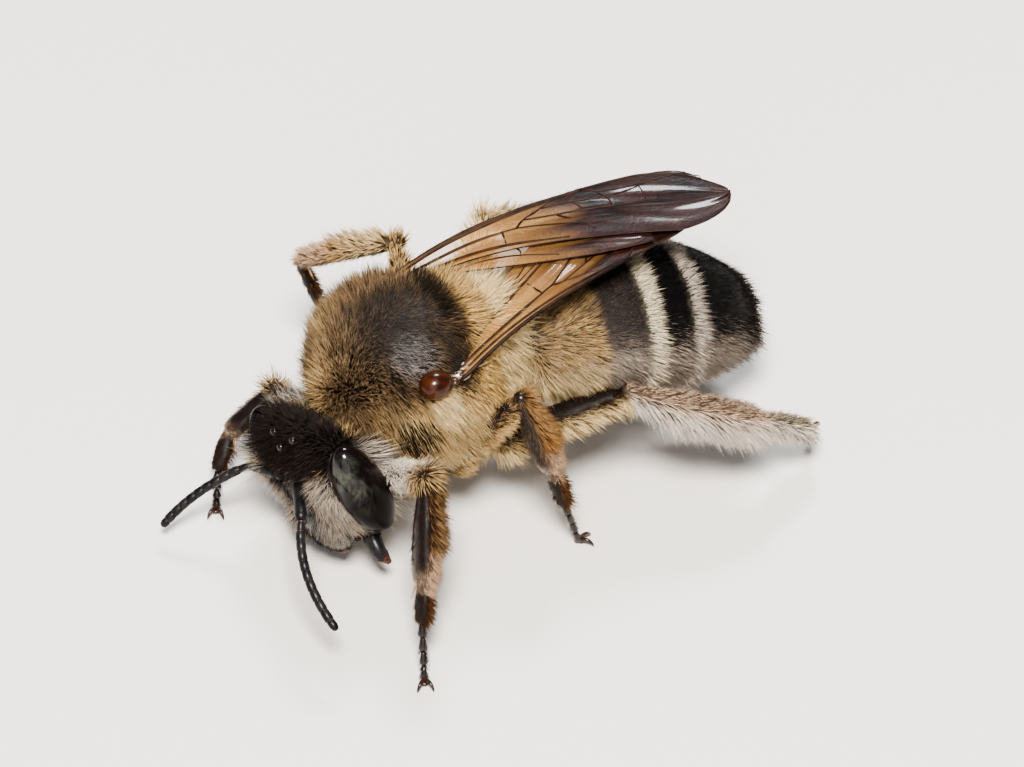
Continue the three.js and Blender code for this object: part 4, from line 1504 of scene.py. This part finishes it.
def abdomen_coat(p, n):
    coat = Coat(p, n)
    s, angle, _ = abdomen_place(p)
    top = np.sin(angle)
    side = step(0.75, 0.2, top)
    low = step(0.2, -0.25, top)
    ring = s - BAND_SLANT * np.maximum(top, 0)
    tone = patchy(p, 0.18)
    first = step(0.245, 0.19, ring)
    ragged = 0.008 * (tone - 0.5)
    front_band, rear_band = (band(ring, *ends, ragged) for ends in BANDS)
    tail = step(0.82, 0.95, s)
    second = step(0.4, 0.34, ring)
    coat.paint(BLACK, 1.0)
    coat.paint(DUSK, second, DUSK)
    coat.paint(OLIVE, second * 0.3 * tone, OLIVE)
    coat.paint(ASH, step(0.5, 0.0, top) * second, SILVER)
    coat.paint(HONEY, first * (0.6 + 0.4 * tone), blend(FAWN, CREAM, 0.6))
    coat.paint(BROWN, 0.6 * tail, BROWN)
    ahead, lilac = step(0.95, 0.7, s), blend(ASH, SILVER, 0.6)
    frosted = step(0.5, -0.1, top) * step(0.42, 0.46, s) * ahead
    coat.paint(ASH, SEED.random(len(p)) < frosted, lilac)
    coat.paint(ASH, low * np.maximum(ahead, 0.35), lilac)
    coat.paint(CREAM, first * low, PALE)
    coat.dark_hairs((0.05 + 0.08 * first * tone) * (1 - 0.7 * low))
    coat.paint(BAND_WHITE, front_band, BAND_WHITE)
    coat.paint(SILVER, rear_band * 0.9, SILVER)
    banded = np.maximum(front_band, rear_band)
    coat.length = 0.22 + 0.18 * first + 0.36 * step(0.5, -0.1, top) + 0.3 * tail + 0.24 * banded
    coat.length = coat.length + 0.16 * side * first
    coat.lift = np.stack([34 + 6 * first + 18 * tail, 17 + 4 * first + 14 * tail], -1)
    coat.lie = abdomen_heading(np.clip(s, 0, 1)) + np.stack([0 * s, 0 * s, -0.45 * side], -1)
    coat.density = (0.85 + 0.15 * banded) * (1 - 0.3 * np.maximum(first, low))
    coat.half = 0.0085 + 0.002 * banded
    coat.clump = 0.15 + 0.2 * np.maximum(first, low)
    coat.uv = np.stack([angle / (2 * np.pi) + 0.5, np.clip(s, 0, 1)], -1)
    return coat


# %% [markdown]
# ### Hair of the legs
# Each leg part has a glossy face with short, sparse hair and a face with long hair. The table names
# for each leg the way the long hair faces, and for femur, tibia and brush its colours at root and tip,
# its length, and how dense the hair of the glossy face is. The hind legs carry the pollen brushes.

# %% Coat of the legs
LEG_HAIR = {
    "front_left": (
        (0.2, 0.9, -0.2), (TAUPE, CREAM, 0.7, 1.0), (BROWN, FAWN, 0.56, 0.3), (BROWN, RUST, 0.34, 0.6),
    ),
    "front_right": (
        (-0.2, 0.9, -0.2), (FAWN, PALE, 0.55, 1.0), (BROWN, FAWN, 0.5, 0.4), (BROWN, RUST, 0.32, 0.6),
    ),
    "middle_left": (
        (0.3, 0.8, 0.1), (FAWN, CREAM, 0.5, 0.9), (RUST, FAWN, 0.5, 0.95), (BROWN, RUST, 0.34, 0.8),
    ),
    "middle_right": (
        (0.2, 0.1, 0.9), (RUST, CREAM, 0.4, 0.8), (FAWN, PALE, 0.5, 1.0), (BROWN, RUST, 0.26, 0.8),
    ),
    "hind_left": (
        (0.2, 0.1, -0.9), (CREAM, PALE, 0.66, 0.95), (SILVER, SNOW, 0.95, 0.85),
        (SILVER, SNOW, 0.66, 0.9),
    ),
    "hind_right": (
        (-0.2, 0.1, 0.6), (CREAM, PALE, 0.72, 1.0), (CREAM, PALE, 0.72, 0.8),
        (SILVER, FROST, 0.55, 0.9),
    ),
}
LEG_DENSITY = 0.68
BARE_FACE = {
    ("front", "femur"): (TAUPE, 1.0, CREAM),
    ("front", "tibia"): (BROWN, 1.0, BROWN),
    ("middle", "femur"): (BROWN, 1.0, FAWN),
    ("hind", "femur"): (BLACK, 1.0, BROWN),
    ("middle", "tibia"): (BROWN, 1.0, TAUPE),
    ("hind", "tibia"): (PEACH, 1.0, BLUSH),
    ("hind", "brush"): (SILVER, 1.0, PALE),
}


def leg_coat(p, n, name, part):
    coat = Coat(p, n)
    front, hind = name.startswith("front"), name.startswith("hind")
    a, b, half = RODS[name, part]
    _, t = from_rod(p, a, b, half)
    way = np.array((b - a).normalized())
    facing, *parts = LEG_HAIR[name]
    root, tip, length, over = parts[("femur", "tibia", "brush").index(part)]
    haired = step(-0.4, 0.4, n @ np.array(Vector(facing).normalized()) + SEED.normal(0, 0.12, len(p)))
    coat.paint(*BARE_FACE.get((name.split("_")[0], part), (BROWN, 1.0, BROWN)))
    coat.paint(root, haired, tip)
    apex = mix(step(0.8, 0.9, t), step(0.6, 0.72, t), haired) * (part == "tibia")
    if name.startswith("middle") and part == "tibia":
        coat.paint(RUST, 0.6 * step(0.3, 0.7, t) * haired, ORANGE)
    if not hind:
        coat.paint(PEACH, 0.9 * apex, blend(PEACH, BLUSH, 0.4))
    coat.dark_hairs((0.42 if front else 0.08) * (1 - 0.85 * apex), BROWN)
    coat.length = mix(length if part == "femur" and front else 0.22, length, haired)
    if hind and part != "femur":
        coat.length = mix(0.34, length, haired) * (1 - 0.3 * step(0.3, 0.0, t))
    if not hind:
        coat.length = coat.length * (1 - 0.4 * apex)
    coat.lift = np.stack([28 + 30 * haired, 12 + 28 * haired], -1)
    coat.lie = np.tile(way, (len(p), 1)) + 0.35 * haired[:, None] * np.array(facing)
    if front and part == "femur":
        coat.lie = np.tile((math.copysign(0.3, way[0]), 0.5, -1.0), (len(p), 1)) + 0.4 * way
        coat.lift = np.full((len(p), 2), (40.0, 16.0))
        inner = step(0.95, 0.7, t)
        coat.paint(SILVER, inner, FROST)
        coat.length = coat.length * (1 - 0.35 * inner)
        coat.lie = blend(coat.lie, way + (0.0, 0.3, -0.3), inner)
        coat.lift = coat.lift * (1 - 0.5 * inner[:, None])
    coat.density = mix(over, 1.0, np.maximum(haired, apex))
    coat.density = coat.density * (1.0 if name == "front_left" else LEG_DENSITY)
    coat.half = np.full(len(p), 0.01)
    coat.clump = np.full(len(p), 0.35)
    ahead = np.array(laid(a, b).to_3x3())
    x, y = (p - np.array(a)) @ ahead[:, 0], (p - np.array(a)) @ ahead[:, 1]
    coat.uv = np.stack([np.arctan2(y, x) / (2 * np.pi) + 0.5, t], -1)
    return coat


# %% Coat of the feet, short and brown
def foot_coat(p, n, name):
    coat = Coat(p, n)
    *_, heel, toe = leg_points(name)[0]
    coat.paint(BROWN, 1.0, BROWN)
    coat.length = np.full(len(p), 0.17)
    coat.lie = np.tile(np.array(toe - heel), (len(p), 1))
    coat.half = np.full(len(p), 0.0095)
    coat.uv = 0.5 + 0.4 * np.sin(p[:, :2])
    return coat


# %% Short bristles along the leading edge of each forewing
BRISTLES, BRISTLE_LENGTH = 420, 0.15


def bristle_coat(word, side):
    share = SEED.uniform(0.02, 0.62, BRISTLES)
    edge = [wing_spot(word, s, costal_edge(s), SEED.uniform(-0.03, 0.05)) for s in share]
    coat = Coat(to_array(edge), unit(np.tile((0.9 * side, 0.1, 0.5), (BRISTLES, 1))))
    coat.length = np.full(BRISTLES, BRISTLE_LENGTH)
    coat.lift = np.full((BRISTLES, 2), (45.0, 20.0))
    coat.half = np.full(BRISTLES, 0.012)
    coat.clump = np.zeros(BRISTLES)
    coat.uv = np.stack([share, np.full(BRISTLES, 0.5)], -1)
    return coat


# %% [markdown]
# ### Roots
# Roots stand evenly on the skin, as densely as the densest fur, and each region then drops the share
# that its density asks for. None is kept under an eye, a wing-root scale or the mouth plate, since it
# would pierce them. The mouth plate and the feet are pieces apart, so they get roots of their own.

# %% Where roots stand
DENSEST = 950
FOOT_HAIRS, FOOT_HALF = 220, 0.1


def hidden(p):
    """True for roots under an eye, a tegula or the mouth plate."""
    q = in_head(p)
    covered = from_ball(q, CLYPEUS_AT, CLYPEUS_RADII) < 0.02
    for word, side in SIDES:
        covered |= from_ball(q, mirrored(EYE_AT, side), EYE_RADII) < 0.05
        covered |= from_ball(p, mirrored(TEGULA_AT, side), TEGULA_RADII) < 0.03
    return covered


def strewn_on_plate(per_mm2):
    """Roots spread evenly over the mouth plate, which is a stretched ball."""
    radii = np.array(CLYPEUS_RADII)
    spread = radii.prod() / radii
    tries = int(4 * np.pi * spread.max() * per_mm2)
    d = unit(SEED.normal(0, 1, (tries, 3)))
    d = d[SEED.random(tries) < np.linalg.norm(d * spread, axis=1) / spread.max()]
    at = np.array(CLYPEUS_AT) + d * radii
    return at @ HEAD_TURN.T + np.array(HEAD.translation), unit(d / radii) @ HEAD_TURN.T


def strewn_on_foot(name):
    """Roots round the rod from heel to toe."""
    *_, heel, toe = leg_points(name)[0]
    t, a = SEED.random((FOOT_HAIRS, 1)), SEED.uniform(0, 2 * np.pi, (FOOT_HAIRS, 1))
    across, over = (np.array(laid(heel, toe).col[k][:3]) for k in (0, 1))
    out = np.cos(a) * across + np.sin(a) * over
    return np.array(heel) + t * np.array(toe - heel) + FOOT_HALF * out, out


def kept(coat, keep):
    for name, value in vars(coat).items():
        setattr(coat, name, value[keep])
    return coat


def thinned(coat):
    return kept(coat, SEED.random(len(coat.p)) < coat.density)


# %% Grow the coat on the skin, region by region
MAKERS = {"thorax": thorax_coat, "head": head_coat, "neck": neck_coat, "abdomen": abdomen_coat}
at, out = strewn(skin.data, DENSEST)
seen = ~hidden(at)
at, out = at[seen], out[seen]
region = region_of(at)
coats = {}
for k, label in enumerate([*REGIONS, *RODS]):
    p, n = at[region == k], out[region == k]
    coats[label] = thinned(MAKERS[label](p, n) if label in MAKERS else leg_coat(p, n, *label))
coats["clypeus"] = thinned(clypeus_coat(*strewn_on_plate(DENSEST)))
for word, side in SIDES:
    coats["bristles_" + word] = bristle_coat(word, side)
for name in LEGS:
    coats["foot_" + name] = foot_coat(*strewn_on_foot(name), name)
print({str(label): len(coat.p) for label, coat in coats.items()})


# %% [markdown]
# ### From roots to hairs
# Each hair leaves the skin steeply and bends over along the lie. Neighbours lean together into small
# locks: every hair moves part of the way to the tip of the nearest lock. The spikes are built as one
# mesh per piece, straight from arrays, because so many objects would choke Blender.

# %% The path of each hair: foot, bend and tip
HAIR_SHARES = (0.0, 0.5, 1.0)
SUNK = 0.04
LIE_SPREAD, LIFT_SPREAD, LENGTH_SPREAD = 0.22, 7, (0.65, 1.12)
LOCK_EVERY, LOCK_PULLS, LOCK_SPREAD = 12, (0.35, 1.0), (0.5, 1.3)


def hair_paths(coat):
    count = len(coat.p)
    n = coat.n
    along = coat.lie - (coat.lie * n).sum(1, keepdims=True) * n
    along = unit(along + SEED.normal(0, LIE_SPREAD, (count, 3)))
    length = (coat.length * SEED.uniform(*LENGTH_SPREAD, count))[:, None]
    wobble = SEED.normal(0, LIFT_SPREAD, count)
    rise = np.radians(np.clip(coat.lift + wobble[:, None], 4, 88))
    start, end = (n * np.sin(rise[:, k : k + 1]) + along * np.cos(rise[:, k : k + 1]) for k in (0, 1))
    foot = coat.p - SUNK * n
    path = [foot + length * (start * (t - t * t / 2) + end * t * t / 2) for t in HAIR_SHARES]
    locks = KDTree(count // LOCK_EVERY + 1)
    for k in range(0, count, LOCK_EVERY):
        locks.insert(coat.p[k], k)
    locks.balance()
    lock = np.array([locks.find(p)[1] for p in coat.p])
    pull = (coat.clump * SEED.uniform(*LOCK_SPREAD, count))[:, None]
    for k, share in enumerate(LOCK_PULLS, 1):
        path[k] = path[k] + (path[k][lock] - path[k]) * np.clip(pull * share, 0, 0.9)
    return path


# %% Hairs as closed spikes
# The root ring of every hair is painted darker, as shade deep in the fur.
BEND_WIDE, PAINTED_ROOT_SHADE, SHADES = 0.85, 0.52, (0.8, 1.15)
PATCH = 0.0015


def strands(coat, path, picked, rings):
    """Points, corners, colours and patches of the picked hairs: rings of three points and a tip."""
    count, size = int(picked.sum()), 3 * rings + 1
    foot, bend, tip = (row[picked] for row in path)
    way = unit(tip - foot)
    across = unit(np.cross(way, SEED.normal(0, 1, (count, 3))))
    over = np.cross(way, across)
    turns = np.arange(3) * 2 * np.pi / 3
    root, end = coat.root[picked], coat.tip[picked]
    shade = SEED.uniform(*SHADES, (count, 1))
    verts, tint = np.empty((count, size, 3)), np.ones((count, size, 4))
    between = blend(root, end, np.full(count, 0.5))
    # The root ring takes the painted shade, the bend a colour halfway from root to tip.
    rows = [(foot, 1.0, PAINTED_ROOT_SHADE * root), (bend, BEND_WIDE, between)][:rings]
    for k, (at, wide, colour) in enumerate(rows):
        for j, turned in enumerate(turns):
            aside = (across * math.cos(turned) + over * math.sin(turned)) * coat.half[picked][:, None]
            verts[:, 3 * k + j] = at + wide * aside
            tint[:, 3 * k + j, :3] = colour * shade
    verts[:, -1], tint[:, -1, :3] = tip, end * shade
    faces = [(2, 1, 0)]
    for j in range(3):
        m = (j + 1) % 3
        if rings == 2:
            faces += [(j, m, 3 + m), (j, 3 + m, 3 + j)]
        faces.append((size - 4 + j, size - 4 + m, size - 1))
    corners = np.arange(count)[:, None, None] * size + np.array(faces)[None]
    ring = np.stack([np.cos(turns), np.sin(turns)], -1) * PATCH
    patch = np.concatenate([ring, 0.6 * ring, [[0, 0]]] if rings == 2 else [ring, [[0, 0]]])
    uv = np.clip(coat.uv[picked], 0.005, 0.995)[:, None] + patch[None]
    return verts.reshape(-1, 3), corners.reshape(-1, 3), tint.reshape(-1, 4), uv.reshape(-1, 2)


# %% One mesh from all hairs of a piece
STRAIGHT_BELOW = 0.43


def spikes(coat, name):
    """Short hairs are straight spikes, long ones bend once."""
    path, short = hair_paths(coat), coat.length < STRAIGHT_BELOW
    verts, corners, tint, uv = zip(strands(coat, path, short, 1), strands(coat, path, ~short, 2))
    corners = np.concatenate([corners[0], corners[1] + len(verts[0])])
    verts, tint, uv = (np.concatenate(part) for part in (verts, tint, uv))
    mesh = bpy.data.meshes.new(name)
    mesh.vertices.add(len(verts))
    mesh.vertices.foreach_set("co", verts.ravel())
    mesh.loops.add(corners.size)
    mesh.loops.foreach_set("vertex_index", corners.ravel())
    mesh.polygons.add(len(corners))
    mesh.polygons.foreach_set("loop_start", np.arange(len(corners)) * 3)
    mesh.update(calc_edges=True)
    tint_points(mesh, tint)
    mesh.uv_layers.new(name="OFBake").data.foreach_set("uv", uv[corners.ravel()].ravel())
    obj = bpy.data.objects.new(name, mesh)
    bpy.context.collection.objects.link(obj)
    return obj


# %% [markdown]
# ### Pieces of the coat
# The coat is cut into pieces that a viewer can load with ease, each below 200,000 triangles: four
# slices across the thorax, six along the abdomen, one for the head and one for each leg.

# %% Merge or split coats
def merged(labels):
    parts = [coats[label] for label in labels if len(coats[label].p)]
    whole = Coat(np.zeros((0, 3)), np.zeros((0, 3)))
    for name in vars(whole):
        setattr(whole, name, np.concatenate([getattr(part, name) for part in parts]))
    return whole


def split(coat, key, cuts):
    edges = [-1e9, *cuts, 1e9]
    return [kept(copy.copy(coat), (key >= a) & (key < b)) for a, b in zip(edges, edges[1:])]


# %% Build the pieces
MOST_TRIANGLES = 200000
THORAX_CUTS = (-1.1, 0.0, 1.1)
ABDOMEN_CUTS, FAWN_PIECES = (0.12, 0.2, 0.36, 0.5, 0.66), 3
triangles = {}


def coat_piece(coat, name):
    obj = settled(spikes(coat, name), name, HAIR)
    triangles[name] = len(obj.data.polygons)
    print(name, len(coat.p), "hairs,", triangles[name], "triangles")
    assert triangles[name] < MOST_TRIANGLES, name


thorax = coats["thorax"]
for k, piece in enumerate(split(thorax, thorax.p[:, 0], THORAX_CUTS)):
    coat_piece(piece, "coat_thorax_%d" % (k + 1))
belly = coats["abdomen"]
for k, piece in enumerate(split(belly, abdomen_place(belly.p)[0], ABDOMEN_CUTS)):
    coat_piece(piece, "coat_abdomen_%d" % (k + 1))
coat_piece(merged(["head", "neck", "clypeus"]), "coat_head")
for pair in ("front", "middle", "hind"):
    for word, side in SIDES:
        name = pair + "_" + word
        rods = [rod for rod in RODS if rod[0] == name] + ["foot_" + name]
        coat_piece(merged(rods), "coat_leg_" + name)
for word, side in SIDES:
    coat_piece(coats["bristles_" + word], "wing_bristles_" + word)
print("coat triangles", sum(triangles.values()))


# %% [markdown]
# ### Markings of the skin
# The shell shows between the hairs, so it carries the same markings, much darker. Each point of the
# skin takes the mean colour of the nearest roots. The tibiae of the front and middle legs also get
# more gloss, since polished shell shows between their hairs.

# %% Tint the skin from the coat
SHELL = (0.008, 0.007, 0.007)
EVERY, NEAREST = 3, 5
ROOT_TONE, ROOT_SHARE = 0.5, 0.22


def tint_skin():
    tree = KDTree(sum(len(coat.p) // EVERY + 1 for coat in coats.values()))
    colours = []
    for coat in coats.values():
        for p, colour in zip(coat.p[::EVERY], coat.root[::EVERY]):
            tree.insert(p, len(colours))
            colours.append(colour)
    tree.balance()
    colours = np.array(colours)
    tint = np.ones((len(skin.data.vertices), 4))
    spots = to_array(vertex.co for vertex in skin.data.vertices)
    glossy = [
        len(REGIONS) + k for k, (name, part) in enumerate(RODS)
        if part == "tibia" and not name.startswith("hind")
    ]
    for k, vertex in enumerate(skin.data.vertices):
        nearest = [found[1] for found in tree.find_n(vertex.co, NEAREST)]
        tint[k, :3] = blend(SHELL, ROOT_TONE * colours[nearest].mean(0), ROOT_SHARE)
    tint_points(skin.data, tint)
    stored(skin, "gloss", np.isin(region_of(spots), glossy).astype(np.float32))


tint_skin()
settled(skin, "body_skin", SKIN, [
    "head", "neck", "thorax", "scutellum", *["abdomen_%d" % k for k in range(1, 7)],
    *[part + "_" + name for name in LEGS for part in ("femur", "tibia", "basitarsus")],
])

# %% [markdown]
# The dressed bee has to stay in the box of the solid model.
